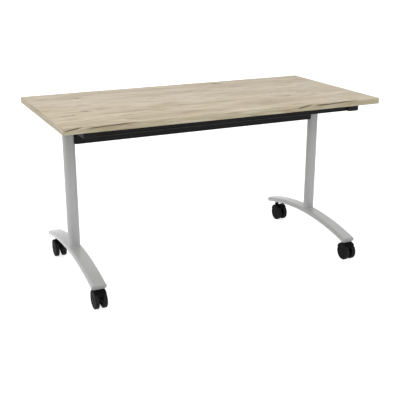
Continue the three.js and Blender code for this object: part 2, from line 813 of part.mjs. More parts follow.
// The origin is the middle of the footprint: the front casters reach past the board, the back ones don't
const frontReach = Math.max(boardDepth / 2, stemY + casterTrail + wheelRadius);
const backReach = Math.max(boardDepth / 2, footLength / 2);
table.position.y = (frontReach - backReach) / 2;

export default table;
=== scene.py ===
"""Looks of a flip-top training table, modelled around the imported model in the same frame.

X runs along the table, -Y is the user's side and Z is up. Lengths are in metres, and MM turns millimetres
into metres.
"""

import json
import logging
import math
from abc import ABC, abstractmethod
from collections.abc import Callable, Iterator, Sequence
from contextlib import contextmanager
from dataclasses import dataclass, field
from enum import Enum
from functools import partial
from itertools import pairwise

import bmesh
import bpy
from bmesh.types import BMEdge
from bpy.types import Camera, Light, Material, Node, NodeSocket, NodeTree, Object
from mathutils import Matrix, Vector


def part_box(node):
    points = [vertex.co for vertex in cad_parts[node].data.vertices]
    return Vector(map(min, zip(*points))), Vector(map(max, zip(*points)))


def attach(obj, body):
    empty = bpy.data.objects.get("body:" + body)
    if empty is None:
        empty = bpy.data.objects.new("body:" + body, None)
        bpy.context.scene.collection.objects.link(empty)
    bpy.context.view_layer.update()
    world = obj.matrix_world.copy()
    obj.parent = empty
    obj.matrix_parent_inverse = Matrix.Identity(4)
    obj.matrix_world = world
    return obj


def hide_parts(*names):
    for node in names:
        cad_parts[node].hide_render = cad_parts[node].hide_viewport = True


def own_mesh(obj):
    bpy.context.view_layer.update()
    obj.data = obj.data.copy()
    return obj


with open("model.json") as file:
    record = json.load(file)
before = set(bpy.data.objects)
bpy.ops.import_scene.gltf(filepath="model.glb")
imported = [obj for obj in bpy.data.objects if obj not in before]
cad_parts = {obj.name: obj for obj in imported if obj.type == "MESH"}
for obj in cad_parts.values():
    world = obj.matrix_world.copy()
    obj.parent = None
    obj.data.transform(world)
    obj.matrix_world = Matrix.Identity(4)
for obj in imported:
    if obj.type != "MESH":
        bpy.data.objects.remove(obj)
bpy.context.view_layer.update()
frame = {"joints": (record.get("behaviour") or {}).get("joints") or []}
LOG = logging.getLogger("table")

MM = 0.001
MERGE_DISTANCE = 1e-6
SAME_PLACE = 1e-5
SMOOTH_ANGLE = math.radians(35)

JOINTS = {joint["name"]: joint for joint in frame["joints"]}
TILT_PIVOT = Vector(JOINTS["top_tilt"]["pos_m"])
RELEASE_TRAVEL = JOINTS["release_pull"]["range_m"][1]

Spot = tuple[float, float]
Place = tuple[float, float, float]
Feed = Node | NodeSocket | float | Sequence[float]


# Outlines


def arc(centre: Spot, radius: float, start: float, stop: float, steps: int = 8) -> list[Spot]:
    """Divides an arc into points.

    Args:
        centre: Centre of the arc.
        radius: Radius of the arc.
        start: First angle in degrees.
        stop: Last angle in degrees.
        steps: Number of chords.

    Returns:
        The points from the first angle to the last.
    """
    angles = [math.radians(start + (stop - start) * i / steps) for i in range(steps + 1)]
    return [(centre[0] + radius * math.cos(a), centre[1] + radius * math.sin(a)) for a in angles]


def rounded_rectangle(low: Spot, high: Spot, corner: float, steps: int = 6) -> list[Spot]:
    """Outline of a rectangle with round corners.

    Args:
        low: Lowest corner.
        high: Highest corner.
        corner: Radius of the corners.
        steps: Number of chords in each corner.

    Returns:
        The outline's points, anticlockwise.
    """
    near = (low[0] + corner, low[1] + corner)
    far = (high[0] - corner, high[1] - corner)
    corners = enumerate((far, (near[0], far[1]), near, (far[0], near[1])))
    return [spot for i, centre in corners for spot in arc(centre, corner, 90 * i, 90 * i + 90, steps)]


def flat_oval(centre: Spot, width: float, depth: float, steps: int = 24) -> list[Spot]:
    """Outline with two straight sides and half-round ends.

    Args:
        centre: Middle of the oval.
        width: Length between the round ends.
        depth: Length between the straight sides.
        steps: Number of chords in each end.

    Returns:
        The outline's points, anticlockwise.
    """
    radius = depth / 2
    shift = width / 2 - radius
    return [
        *arc((centre[0] + shift, centre[1]), radius, -90, 90, steps),
        *arc((centre[0] - shift, centre[1]), radius, 90, 270, steps),
    ]


def stepped(start: float, *parts: Spot) -> list[Spot]:
    """Profile of a round piece whose thickness changes in steps.

    Args:
        start: Where the piece starts on its axis.
        parts: Pairs of where a part ends on the axis and its radius.

    Returns:
        Pairs of a length along the axis and a radius, from the axis and back to it.
    """
    profile = [(start, 0.0)]
    for stop, radius in parts:
        profile += [(profile[-1][0], radius), (stop, radius)]
    return [*profile, (profile[-1][0], 0.0)]


# Places and directions


class Named(Enum):
    """Option whose name is a word in the names of pieces."""

    @property
    def word(self) -> str:
        """The name in small letters."""
        return self.name.lower()


class Side(Named):
    """Left or right end of the table, with its sign on X."""

    LEFT = -1
    RIGHT = 1


class End(Named):
    """Front or back of the table, with its sign on Y."""

    FRONT = -1
    BACK = 1


class Axis(Enum):
    """Direction along which an outline is extruded or a profile is turned."""

    X = 0
    Y = 1
    Z = 2

    @property
    def direction(self) -> Vector:
        """Unit vector along the axis."""
        return self.point(1.0, 0.0, 0.0)

    def point(self, along: float, first: float, second: float) -> Vector:
        """Places a point by one length along the axis and two across it.

        Args:
            along: Length along the axis.
            first: Length along the next axis in the order X, Y, Z, X.
            second: Length along the axis after that.

        Returns:
            The point.
        """
        spot = Vector((0.0, 0.0, 0.0))
        for step, length in enumerate((along, first, second)):
            spot[(self.value + step) % 3] = length
        return spot


@dataclass(frozen=True)
class Span:
    """Box of one of the frame's nodes at rest."""

    low: Vector
    high: Vector

    @classmethod
    def of(cls, node: str) -> "Span":
        """Box of the node with this name."""
        return cls(*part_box(node))

    @property
    def middle(self) -> Vector:
        """Centre of the box."""
        return (self.low + self.high) / 2

    @property
    def size(self) -> Vector:
        """Lengths of the box's sides."""
        return self.high - self.low

    @property
    def floor_spot(self) -> Vector:
        """Point on the floor under the centre of the box."""
        return Vector((self.middle.x, self.middle.y, 0.0))

    def corner(self, sign: int) -> Vector:
        """Lowest corner for -1 and highest corner for 1."""
        return self.high if sign > 0 else self.low

    def oval(self, growth: float = 0.0, steps: int = 24) -> list[Spot]:
        """Flat oval that fills the box in X and Y.

        Args:
            growth: How far its sides are moved out.
            steps: Number of chords in each round end.

        Returns:
            The outline's points.
        """
        width, depth, _ = self.size
        return flat_oval((self.middle.x, self.middle.y), width + 2 * growth, depth + 2 * growth, steps)

    def section(self, corner: float, inset: Spot = (0.0, 0.0), steps: int = 6) -> list[Spot]:
        """Rounded rectangle that fills the box in Y and Z.

        Args:
            corner: Radius of its corners.
            inset: How far its sides are moved in on Y and on Z.
            steps: Number of chords in each corner.

        Returns:
            The outline's points.
        """
        low = (self.low.y + inset[0], self.low.z + inset[1])
        high = (self.high.y - inset[0], self.high.z - inset[1])
        return rounded_rectangle(low, high, corner, steps)


# Bench work with Blender's operators


class Operation(Enum):
    """How a second solid acts on a first one."""

    CUT = "DIFFERENCE"
    JOIN = "UNION"


def put_on_bench(piece: Object) -> None:
    """Makes one object the only selected one and the active one.

    Args:
        piece: The object.
    """
    bpy.ops.object.select_all(action="DESELECT")
    piece.select_set(True)
    bpy.context.view_layer.objects.active = piece


def taken(name: str) -> Object:
    """Names the object that was just added or moved and puts its place into its mesh.

    Args:
        name: Name of the object and its mesh.

    Returns:
        The object.
    """
    piece = bpy.context.active_object
    piece.name = name
    piece.data.name = name
    bpy.ops.object.transform_apply(location=True, rotation=True, scale=True)
    return piece


@contextmanager
def editing(piece: Object) -> Iterator[None]:
    """Opens a piece in edit mode with all of it selected.

    Args:
        piece: The object to edit.

    Yields:
        Nothing; the piece leaves edit mode at the end.
    """
    put_on_bench(piece)
    bpy.ops.object.mode_set(mode="EDIT")
    bpy.ops.mesh.select_mode(type="VERT")
    bpy.ops.mesh.select_all(action="SELECT")
    yield
    bpy.ops.object.mode_set(mode="OBJECT")


def extrude(move: Vector) -> None:
    """Extrudes what is selected in edit mode."""
    bpy.ops.mesh.extrude_region_move(TRANSFORM_OT_translate={"value": move})


def face_outwards() -> None:
    """Merges doubled points and turns all faces outwards, in edit mode."""
    bpy.ops.mesh.select_mode(type="VERT")
    bpy.ops.mesh.select_all(action="SELECT")
    bpy.ops.mesh.remove_doubles(threshold=MERGE_DISTANCE)
    bpy.ops.mesh.normals_make_consistent(inside=False)


def boxed(name: str, low: Vector, high: Vector) -> Object:
    """Adds a box between two corners.

    Args:
        name: Name of the new object.
        low: Lowest corner.
        high: Highest corner.

    Returns:
        The box.
    """
    bpy.ops.object.select_all(action="DESELECT")
    bpy.ops.mesh.primitive_cube_add(size=1.0, location=(low + high) / 2, scale=high - low)
    return taken(name)


def traced(name: str, points: Sequence[Vector], closed: bool = True) -> Object:
    """Draws a line of edges by extruding one vertex from point to point.

    Args:
        name: Name of the new object.
        points: The line's points.
        closed: Whether the line runs back to its first point.

    Returns:
        The line.
    """
    bpy.ops.object.select_all(action="DESELECT")
    bpy.ops.mesh.primitive_plane_add(size=MM, location=points[0])
    line = taken(name)
    route = [*points, points[0]] if closed else points
    with editing(line):
        bpy.ops.mesh.merge(type="CENTER")
        for start, stop in pairwise(route):
            extrude(stop - start)
        bpy.ops.mesh.select_all(action="SELECT")
        bpy.ops.mesh.remove_doubles(threshold=MERGE_DISTANCE)
    return line


def extruded(
    name: str, axis: Axis, outline: Sequence[Spot], low: float, high: float, wall: float = 0.0
) -> Object:
    """Makes a solid of one outline, or a tube that is open at both ends.

    Args:
        name: Name of the new object.
        axis: Direction of the extrusion.
        outline: Points across the axis.
        low: Where the piece starts on the axis.
        high: Where it ends.
        wall: Thickness of a tube's wall, inside the outline; a solid has none.

    Returns:
        The solid or the tube.
    """
    shape = traced(name, [axis.point(low, *spot) for spot in outline])
    with editing(shape):
        if not wall:
            bpy.ops.mesh.edge_face_add()
        extrude(axis.direction * (high - low))
        face_outwards()
    if wall:
        walled(shape, wall)
    return shape


def spun(
    line: Object, axis: Axis, centre: Vector, angle: float, steps: int, filled: bool = False
) -> Object:
    """Spins a traced line about an axis.

    Args:
        line: The line, which becomes the new shape.
        axis: Direction of the axis.
        centre: Point on the axis.
        angle: Angle of the turn, left-handed as Blender's operator has it.
        steps: Number of divisions of the turn.
        filled: Whether the ends are closed.

    Returns:
        The shape.
    """
    with editing(line):
        bpy.ops.mesh.spin(steps=steps, angle=angle, center=centre, axis=axis.direction)
        if filled:
            bpy.ops.mesh.select_all(action="SELECT")
            bpy.ops.mesh.fill_holes(sides=0)
        face_outwards()
    return line


def turned(name: str, axis: Axis, centre: Vector, profile: Sequence[Spot], steps: int = 48) -> Object:
    """Turns a profile about an axis, as on a lathe.

    Args:
        name: Name of the new object.
        axis: Direction of the axis.
        centre: Point on the axis from which the profile is measured.
        profile: Pairs of a length along the axis and a radius. It starts and ends on the axis, or it closes
            on itself to a ring.
        steps: Number of divisions of the turn.

    Returns:
        The solid.
    """
    is_ring = profile[0][1] > 0
    points = [centre + axis.point(along, radius, 0.0) for along, radius in profile]
    return spun(traced(name, points, closed=is_ring), axis, centre, 2 * math.pi, steps)


def rod(axis: Axis, centre: Vector, radius: float, low: float, high: float, steps: int = 32) -> Object:
    """Plain round bar, used to drill holes and as the core of a piece.

    Args:
        axis: Direction of the bar.
        centre: Point on its axis.
        radius: Radius of the bar.
        low: Where it starts, measured from the centre.
        high: Where it ends.
        steps: Number of divisions of the turn.

    Returns:
        The bar.
    """
    return turned("rod", axis, centre, stepped(low, (high, radius)), steps)


def modify(piece: Object, kind: str, **settings: object) -> None:
    """Adds a modifier with its settings to a piece and applies it.

    Args:
        piece: The object to change.
        kind: Blender's name of the modifier's type.
        settings: Properties of the modifier.
    """
    modifier = piece.modifiers.new(kind, kind)
    for key, value in settings.items():
        setattr(modifier, key, value)
    put_on_bench(piece)
    bpy.ops.object.modifier_apply(modifier=modifier.name)


def walled(piece: Object, wall: float) -> None:
    """Gives an open skin a wall towards its inside."""
    modify(piece, "SOLIDIFY", thickness=wall, offset=-1.0, use_even_offset=True)


def soften(piece: Object, radius: float, segments: int = 3, angle: float = 30.0) -> None:
    """Rounds the edges that are sharper than an angle.

    Args:
        piece: The object to change.
        radius: Width of the rounding.
        segments: Number of strips in it.
        angle: Smallest angle in degrees that is rounded.
    """
    limit = {"limit_method": "ANGLE", "angle_limit": math.radians(angle)}
    modify(piece, "BEVEL", width=radius, segments=segments, **limit)


def combine(piece: Object, operation: Operation, *tools: Object) -> None:
    """Cuts other solids out of a piece, or joins them to it, and removes them.

    Args:
        piece: The object to change.
        operation: Whether the tools are cut out or joined.
        tools: The solids that are used up.
    """
    for tool in tools:
        modify(piece, "BOOLEAN", object=tool, operation=operation.value, solver="EXACT")
        bpy.data.objects.remove(tool)


def lies_in(edge: BMEdge, point: Vector, normal: Vector) -> bool:
    """Whether both ends of an edge lie in the plane through a point with a normal."""
    return all(abs(normal.dot(end.co - point)) < SAME_PLACE for end in edge.verts)


def round_edges(piece: Object, test: Callable[[BMEdge], bool], radius: float, segments: int = 4) -> None:
    """Rounds the edges that pass a test.

    Args:
        piece: The object to change.
        test: Takes one edge.
        radius: Width of the rounding.
        segments: Number of strips in it.
    """
    with editing(piece):
        bpy.ops.mesh.select_mode(type="EDGE")
        bpy.ops.mesh.select_all(action="DESELECT")
        shape = bmesh.from_edit_mesh(piece.data)
        for edge in shape.edges:
            edge.select_set(test(edge))
        shape.select_flush_mode()
        bmesh.update_edit_mesh(piece.data)
        bpy.ops.mesh.bevel(offset=radius, segments=segments, affect="EDGES")


def copied(source: Object, name: str, move: Vector) -> Object:
    """Copies a piece with a mesh of its own to another place.

    Args:
        source: The piece to copy.
        name: Name of the copy.
        move: Way from the source to the copy.

    Returns:
        The copy.
    """
    put_on_bench(source)
    bpy.ops.object.duplicate(linked=False)
    bpy.ops.transform.translate(value=move)
    return taken(name)


def mirrored(source: Object, name: str) -> Object:
    """Copies a piece to the other side of the plane x = 0.

    Args:
        source: The piece to copy.
        name: Name of the copy.

    Returns:
        The copy.
    """
    put_on_bench(source)
    bpy.ops.object.duplicate(linked=False)
    bpy.context.active_object.scale.x = -1.0
    copy = taken(name)
    with editing(copy):
        bpy.ops.mesh.flip_normals()
    return copy


# Finishes

# Inputs of a Mix node for colours
SHARE, FIRST, SECOND = 0, 6, 7
# How many finer noises lie in a broad pattern and in a fine one
CLOUD_DETAIL = 3.0
GRAIN_DETAIL = 2.0


def linear(colour: str) -> tuple[float, ...]:
    """Turns an sRGB hex colour into linear light with full opacity.

    Args:
        colour: Six hex digits.

    Returns:
        Red, green, blue and opacity.
    """
    shares = [int(colour[i : i + 2], 16) / 255 for i in (0, 2, 4)]
    lit = [s / 12.92 if s <= 0.04045 else ((s + 0.055) / 1.055) ** 2.4 for s in shares]
    return (*lit, 1.0)


def per_metre(millimetres: float) -> float:
    """Scale of a pattern whose features have this size."""
    return 1 / (millimetres * MM)


def feed(node: Node, inputs: dict[str | int, Feed]) -> None:
    """Links or sets inputs of a node.

    Args:
        node: The node.
        inputs: Value, socket or node for each input that isn't left at its default. Of a node, the first
            output in use is linked.
    """
    for key, source in inputs.items():
        if isinstance(source, Node):
            source = next(output for output in source.outputs if output.enabled)
        if isinstance(source, NodeSocket):
            node.id_data.links.new(source, node.inputs[key])
        else:
            node.inputs[key].default_value = source


def add_node(
    tree: NodeTree, kind: str, inputs: dict[str | int, Feed] | None = None, **settings: object
) -> Node:
    """Adds a node with its settings and links.

    Args:
        tree: Node tree of a material or the world.
        kind: Blender's name of the node's type, without its first words.
        inputs: What feeds the inputs that aren't left at their default.
        settings: Properties of the node.

    Returns:
        The new node.
    """
    node = tree.nodes.new(f"ShaderNode{kind}")
    for key, value in settings.items():
        setattr(node, key, value)
    feed(node, inputs or {})
    return node


@dataclass(frozen=True)
class Finish(ABC):
    """How a surface looks, and the record's slot that it belongs to."""

    name: str
    slot: str

    def material(self) -> Material:
        """Finds the finish's material, or makes it at its first use.

        Returns:
            The material.
        """
        found = bpy.data.materials.get(self.name)
        if found:
            return found
        made = bpy.data.materials.new(self.name)
        made.use_nodes = True
        place = add_node(made.node_tree, "TexCoord").outputs["Object"]
        self.shade(made.node_tree.nodes["Principled BSDF"], place)
        return made

    @abstractmethod
    def shade(self, shader: Node, place: NodeSocket) -> None:
        """Sets up the shader.

        Args:
            shader: The material's Principled BSDF.
            place: Object coordinates.
        """


@dataclass(frozen=True)
class Surface(Finish):
    """Even finish with soft clouds of tone and gloss and a fine texture.

    Sizes are in millimetres: of the clouds, of one grain of the texture, and its depth.
    """

    colour: str
    cloud_colour: str
    metallic: float = 0.0
    roughness: float = 0.5
    gloss_range: float = 0.06
    ior: float = 1.5
    specular: float = 0.5
    coat: float = 0.0
    coat_roughness: float = 0.2
    cloud: float = 70.0
    grain: float = 2.0
    depth: float = 0.02

    def shade(self, shader: Node, place: NodeSocket) -> None:
        """Sets up the shader.

        Args:
            shader: The material's Principled BSDF.
            place: Object coordinates.
        """
        add = partial(add_node, shader.id_data)
        cloud = add("TexNoise", {"Vector": place, "Scale": per_metre(self.cloud), "Detail": CLOUD_DETAIL})
        grain = add("TexNoise", {"Vector": place, "Scale": per_metre(self.grain), "Detail": GRAIN_DETAIL})
        tones = {SHARE: cloud, FIRST: linear(self.colour), SECOND: linear(self.cloud_colour)}
        gloss = {"To Min": self.roughness - self.gloss_range, "To Max": self.roughness + self.gloss_range}
        looks = {
            "Base Color": add("Mix", tones, data_type="RGBA"),
            "Roughness": add("MapRange", {"Value": cloud, **gloss}),
            "Normal": add("Bump", {"Height": grain, "Strength": 1.0, "Distance": self.depth * MM}),
            "Metallic": self.metallic,
            "IOR": self.ior,
            "Specular IOR Level": self.specular,
            "Coat Weight": self.coat,
            "Coat Roughness": self.coat_roughness,
        }
        feed(shader, looks)


@dataclass(frozen=True)
class GrainLayer:
    """Colour that lies over the oak in patches stretched along the grain; lengths in millimetres."""

    colour: str
    length: float
    width: float
    cover: Spot
    strength: float
    height: float = 0.0


@dataclass(frozen=True)
class Mark:
    """Small knot or dark fleck in the oak, by its place on the board and its half lengths in millimetres."""

    x: float
    y: float
    length: float
    width: float
    strength: float


@dataclass(frozen=True)
class Crack:
    """Dark crack along a strip, by its two ends in the decor's repeat and its half width in millimetres."""

    start: Spot
    stop: Spot
    width: float


# Broad tone first, then streaks, lines and pores; real pores are too fine to show, so these are wider
OAK_LAYERS = (
    GrainLayer("B5A488", 560, 80, (0.38, 0.64), 0.70),
    GrainLayer("CAB8A0", 440, 90, (0.46, 0.70), 0.60),
    GrainLayer("C4B592", 360, 60, (0.48, 0.72), 0.60),
    GrainLayer("96835E", 170, 17, (0.50, 0.72), 0.50, -0.2),
    GrainLayer("DED3BE", 150, 15, (0.51, 0.72), 0.55, 0.2),
    GrainLayer("846F50", 85, 7, (0.54, 0.72), 0.58, -0.5),
    GrainLayer("74643F", 42, 1.5, (0.60, 0.72), 0.45, -1.0),
)
OAK_MARKS = (
    Mark(219, 307, 52, 20, 0.75),
    Mark(467, -52, 42, 13, 0.65),
    Mark(368, -102, 52, 12, 0.65),
    Mark(-532, -47, 36, 14, 0.75),
    Mark(-617, -108, 46, 11, 0.70),
    Mark(-490, 237, 42, 18, 0.65),
    Mark(-401, -188, 48, 12, 0.50),
    Mark(-139, -95, 48, 13, 0.60),
    Mark(60, 60, 28, 9, 0.40),
    Mark(560, 190, 32, 9, 0.40),
)
OAK_CRACKS = (Crack((0, 724), (76, 735.5), 2.2), Crack((82, 728), (300, 735.5), 2.0))


@dataclass(frozen=True)
class OakDecor(Finish):
    """Oak print under a clear satin resin: straight flowing grain with pores that are pressed in a little.

    Lengths are in millimetres.
    """

    tint: str
    base: str = "CCBEA6"
    dark: str = "46341F"
    along: Axis = Axis.X
    marks: tuple[Mark, ...] = ()
    cracks: tuple[Crack, ...] = ()
    roughness: float = 0.48
    pore_roughness: float = 0.60
    ior: float = 1.5
    relief: float = 0.05
    sway: float = 26.0
    sway_length: float = 800.0
    sway_width: float = 260.0
    fineness: float = 1.0
    layer_shift: float = 7.3
    ragged_size: float = 16.0
    ragged_reach: float = 1.5
    mark_edge: Spot = (0.75, 1.75)
    repeat: float = 985.0
    repeat_start: float = -697.0
    wobble: float = 2.4
    wobble_length: float = 26.0
    crack_fade: Spot = (0.15, 0.3)

    def stretched(self, place: Feed, length: float, width: float, shift: float = 0.0) -> Node:
        """Noise whose patches are stretched along the grain.

        Args:
            place: Coordinates to read.
            length: Length of a patch.
            width: Its width.
            shift: Way to a stretch of noise of its own.

        Returns:
            The noise node.
        """
        add = partial(add_node, place.id_data)
        scale = self.along.point(per_metre(length), per_metre(width), per_metre(width))
        mapped = add("Mapping", {"Vector": place, "Scale": scale, "Location": (shift, shift, shift)})
        return add("TexNoise", {"Vector": mapped, "Scale": 1.0, "Detail": GRAIN_DETAIL})

    def mark_mask(self, place: Node) -> Feed:
        """Where the knots and flecks lie, with ragged edges.

        Args:
            place: Node whose coordinates are read.

        Returns:
            A mask from 0 to 1.
        """
        add = partial(add_node, place.id_data)
        size = per_metre(self.ragged_size)
        ragged = add("TexNoise", {"Vector": place, "Scale": size, "Detail": CLOUD_DETAIL})
        edges = {"From Min": self.mark_edge[0], "From Max": self.mark_edge[1], "To Max": 0.0}
        mask: Feed = 0.0
        for mark in self.marks:
            scale = Vector((per_metre(mark.length), per_metre(mark.width), 0.0))
            shift = Vector((-mark.x / mark.length, -mark.y / mark.width, 0.0))
            mapped = add("Mapping", {"Vector": place, "Scale": scale, "Location": shift})
            reach = add("VectorMath", {0: mapped}, operation="LENGTH")
            edge = add("Math", {0: ragged, 1: self.ragged_reach, 2: reach}, operation="MULTIPLY_ADD")
            shares = {"Value": edge, "To Min": mark.strength, **edges}
            spot = add("MapRange", shares, interpolation_type="SMOOTHERSTEP")
            mask = add("Math", {0: mask, 1: spot}, operation="MAXIMUM")
        return mask

    def crack_mask(self, place: NodeSocket) -> Feed:
        """Where the cracks of the decor run, which come again with each repeat.

        Args:
            place: Object coordinates.

        Returns:
            A mask from 0 to 1.
        """
        add = partial(add_node, place.id_data)
        wobble, size = self.wobble * MM, per_metre(self.wobble_length)
        apart = add("SeparateXYZ", {0: place})
        reach = add("Math", {0: apart.outputs["X"], 1: self.repeat_start * MM}, operation="SUBTRACT")
        along = add("Math", {0: reach, 1: self.repeat * MM}, operation="FLOORED_MODULO")
        noise = add("TexNoise", {"Vector": place, "Scale": size, "Detail": CLOUD_DETAIL})
        height = add("Math", {0: noise, 1: wobble, 2: apart.outputs["Z"]}, operation="MULTIPLY_ADD")
        mask: Feed = 0.0
        for crack in self.cracks:
            (x0, z0), (x1, z1) = (Vector(spot) * MM for spot in (crack.start, crack.stop))
            run = {"From Min": x0, "From Max": x1, "To Min": z0 + wobble / 2, "To Max": z1 + wobble / 2}
            line = add("MapRange", {"Value": along, **run}, clamp=False)
            off_line = add("Math", {0: height, 1: line}, operation="SUBTRACT")
            gap = add("Math", {0: off_line}, operation="ABSOLUTE")
            depth = {"Value": gap, "From Max": 2 * crack.width * MM, "To Min": 1.0, "To Max": 0.0}
            shown = add("MapRange", depth, interpolation_type="SMOOTHSTEP")
            first, last = (share * (x1 - x0) for share in self.crack_fade)
            for start, stop in ((x0, x0 + first), (x1, x1 - last)):
                fade = add("MapRange", {"Value": along, "From Min": start, "From Max": stop})
                shown = add("Math", {0: shown, 1: fade}, operation="MULTIPLY")
            mask = add("Math", {0: mask, 1: shown}, operation="MAXIMUM")
        return mask

    def shade(self, shader: Node, place: NodeSocket) -> None:
        """Sets up the shader.

        Args:
            shader: The material's Principled BSDF.
            place: Object coordinates.
        """
        add = partial(add_node, shader.id_data)
        # All layers read coordinates that sway across the grain, so that they flow together
        noise = self.stretched(place, self.sway_length, self.sway_width)
        across = self.along.point(0.0, self.sway * MM, self.sway * MM)
        flow = add("VectorMath", {0: noise, 1: across, 2: place}, operation="MULTIPLY_ADD")
        colour: Feed = linear(self.base)
        height: Feed = 0.0
        for number, layer in enumerate(OAK_LAYERS, start=1):
            noise = self.stretched(flow, layer.length, layer.width * self.fineness, self.layer_shift * number)
            cover = {"From Min": layer.cover[0], "From Max": layer.cover[1], "To Max": layer.strength}
            mask = add("MapRange", {"Value": noise, **cover}, interpolation_type="SMOOTHSTEP")
            tones = {SHARE: mask, FIRST: colour, SECOND: linear(layer.colour)}
            colour = add("Mix", tones, data_type="RGBA")
            if layer.height:
                height = add("Math", {0: mask, 1: layer.height, 2: height}, operation="MULTIPLY_ADD")
        tones = {SHARE: 1.0, FIRST: colour, SECOND: linear(self.tint)}
        colour = add("Mix", tones, data_type="RGBA", blend_type="MULTIPLY")
        masks = [self.mark_mask(flow)] if self.marks else []
        masks += [self.crack_mask(place)] if self.cracks else []
        for mask in masks:
            tones = {SHARE: mask, FIRST: colour, SECOND: linear(self.dark)}
            colour = add("Mix", tones, data_type="RGBA")
        gloss = {"From Min": -1.0, "To Min": self.pore_roughness, "To Max": self.roughness}
        looks = {
            "Base Color": colour,
            "Roughness": add("MapRange", {"Value": height, **gloss}),
            "Normal": add("Bump", {"Height": height, "Strength": 1.0, "Distance": self.relief * MM}),
            "IOR": self.ior,
        }
        feed(shader, looks)


# Printed paper under a clear pressed resin: soft even sheen over the grain
OAK_BOARD = OakDecor("oak decor on melamine", "oak_decor", tint="FCFDFE", marks=OAK_MARKS)
# Extruded plastic printed to match: the same sheen, finer streaks, and cracks along the long edges; the front
# and back strips' darker base and tint are painted shade on their upright faces
OAK_FRONT_STRIP = OakDecor(
    "oak decor on front and back ABS strips", "oak_edge", base="C8BEA5", tint="FBFFFF", cracks=OAK_CRACKS,
    fineness=0.45,
)
# The side strips' still darker base and tint are painted shade on the upright end faces
OAK_SIDE_STRIP = OakDecor(
    "oak decor on side ABS strips", "oak_edge", base="C0B69C", tint="ECEEEE", along=Axis.Y, fineness=0.45,
)
# Powder baked to a satin skin with a fine orange peel; metal flakes under it make a soft silver
SILVER_COAT = Surface(
    "silver powder coat", "silver_paint", colour="B4B5B5", cloud_colour="ADAEAE", roughness=0.32,
    gloss_range=0.04, grain=2.2, depth=0.012, coat=0.6, coat_roughness=0.25,
)

# The textures below are finer than a render shows, so they are drawn 1 to 2.4 mm coarse

# Dyed plastic without the coat's clear skin: a duller grey than the tube beside it
SILVER_CAP = Surface(
    "silver moulded polypropylene", "silver_cap", colour="B0B1B1", cloud_colour="AAABAB", roughness=0.46,
    grain=1.2, depth=0.012, ior=1.49,
)
# Baked powder with a fine matt texture that traps light: black with little shine
BLACK_COAT = Surface(
    "black powder coat", "black_paint", colour="151516", cloud_colour="111112", roughness=0.55, grain=1.6,
    depth=0.03, specular=0.16,
)
# Paint over the rough skin of a casting: a coarser and slightly paler black
BLACK_CAST = Surface(
    "black painted die casting", "cast_head", colour="1A1A1B", cloud_colour="151516", roughness=0.5,
    grain=2.4, depth=0.05, specular=0.25,
)
# Moulded against a spark-eroded tool: even and matt
BLACK_PLASTIC = Surface(
    "black moulded polypropylene", "black_plastic", colour="131314", cloud_colour="0F0F10", roughness=0.58,
    grain=1.1, depth=0.02, ior=1.49, specular=0.2,
)
# Moulded with a dull skin: the deepest black of the table
CASTER_NYLON = Surface(
    "black moulded nylon", "caster_plastic", colour="0E0E0F", cloud_colour="0B0B0C", roughness=0.6,
    grain=1.3, depth=0.012, ior=1.53, specular=0.06,
)
# Cast rubbery ring with scuffs from the floor: matt and blotched
SOFT_TREAD = Surface(
    "soft polyurethane tread", "tread", colour="171718", cloud_colour="1F1F1F", roughness=0.68, cloud=22.0,
    grain=1.4, depth=0.03, specular=0.12,
)
# Thin bright plating on steel: clear reflections with small clouds
ZINC_PLATE = Surface(
    "zinc-plated steel", "bright_steel", colour="C4C6C8", cloud_colour="B4B7B9", metallic=1.0, roughness=0.32,
    cloud=9.0, grain=1.0, depth=0.006,
)
# Turned from a plastic rod: smooth, waxy and pale
GREY_ACETAL = Surface(
    "grey acetal", "bush_plastic", colour="8F8F8A", cloud_colour="878782", roughness=0.45, ior=1.48,
    depth=0.006,
)


# Sub-assemblies


@dataclass
class Piece:
    """A finished mesh with its finish, its body and the frame's nodes that it stands for."""

    mesh: Object
    finish: Finish
    body: str
    nodes: tuple[str, ...]

    def dress(self) -> None:
        """Gives the mesh its material and makes it ride on its body."""
        put_on_bench(self.mesh)
        bpy.ops.object.shade_smooth_by_angle(angle=SMOOTH_ANGLE)
        self.mesh.data.materials.clear()
        self.mesh.data.materials.append(self.finish.material())
        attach(self.mesh, self.body)
        if self.nodes:
            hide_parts(*self.nodes)
        LOG.info("%s rides on %s with %d faces", self.mesh.name, self.body, len(self.mesh.data.polygons))


@dataclass
class SubAssembly(ABC):
    """Pieces of the table that are modelled and dressed together."""

    pieces: list[Piece] = field(default_factory=list, init=False)

    @abstractmethod
    def build(self) -> None:
        """Models the meshes and adds them as pieces."""

    def add(self, mesh: Object, finish: Finish, body: str, *nodes: str) -> None:
        """Adds one finished mesh.

        Args:
            mesh: The mesh's object.
            finish: Its finish.
            body: The body that it rides on.
            nodes: The frame's nodes that it stands for.
        """
        self.pieces.append(Piece(mesh, finish, body, nodes))

    def add_pair(self, left: Object, finish: Finish, body: str, *nodes: str) -> None:
        """Adds a piece of the left side and its mirror image on the right.

        Args:
            left: The left piece, whose name holds the word left, as do the nodes.
            finish: Finish of both.
            body: The body that both ride on.
            nodes: The frame's nodes that the left piece stands for.
        """
        right = mirrored(left, left.name.replace("left", "right"))
        self.add(left, finish, body, *nodes)
        self.add(right, finish, body, *(node.replace("left", "right") for node in nodes))

    def dress(self) -> None:
        """Dresses every piece."""
        for piece in self.pieces:
            piece.dress()


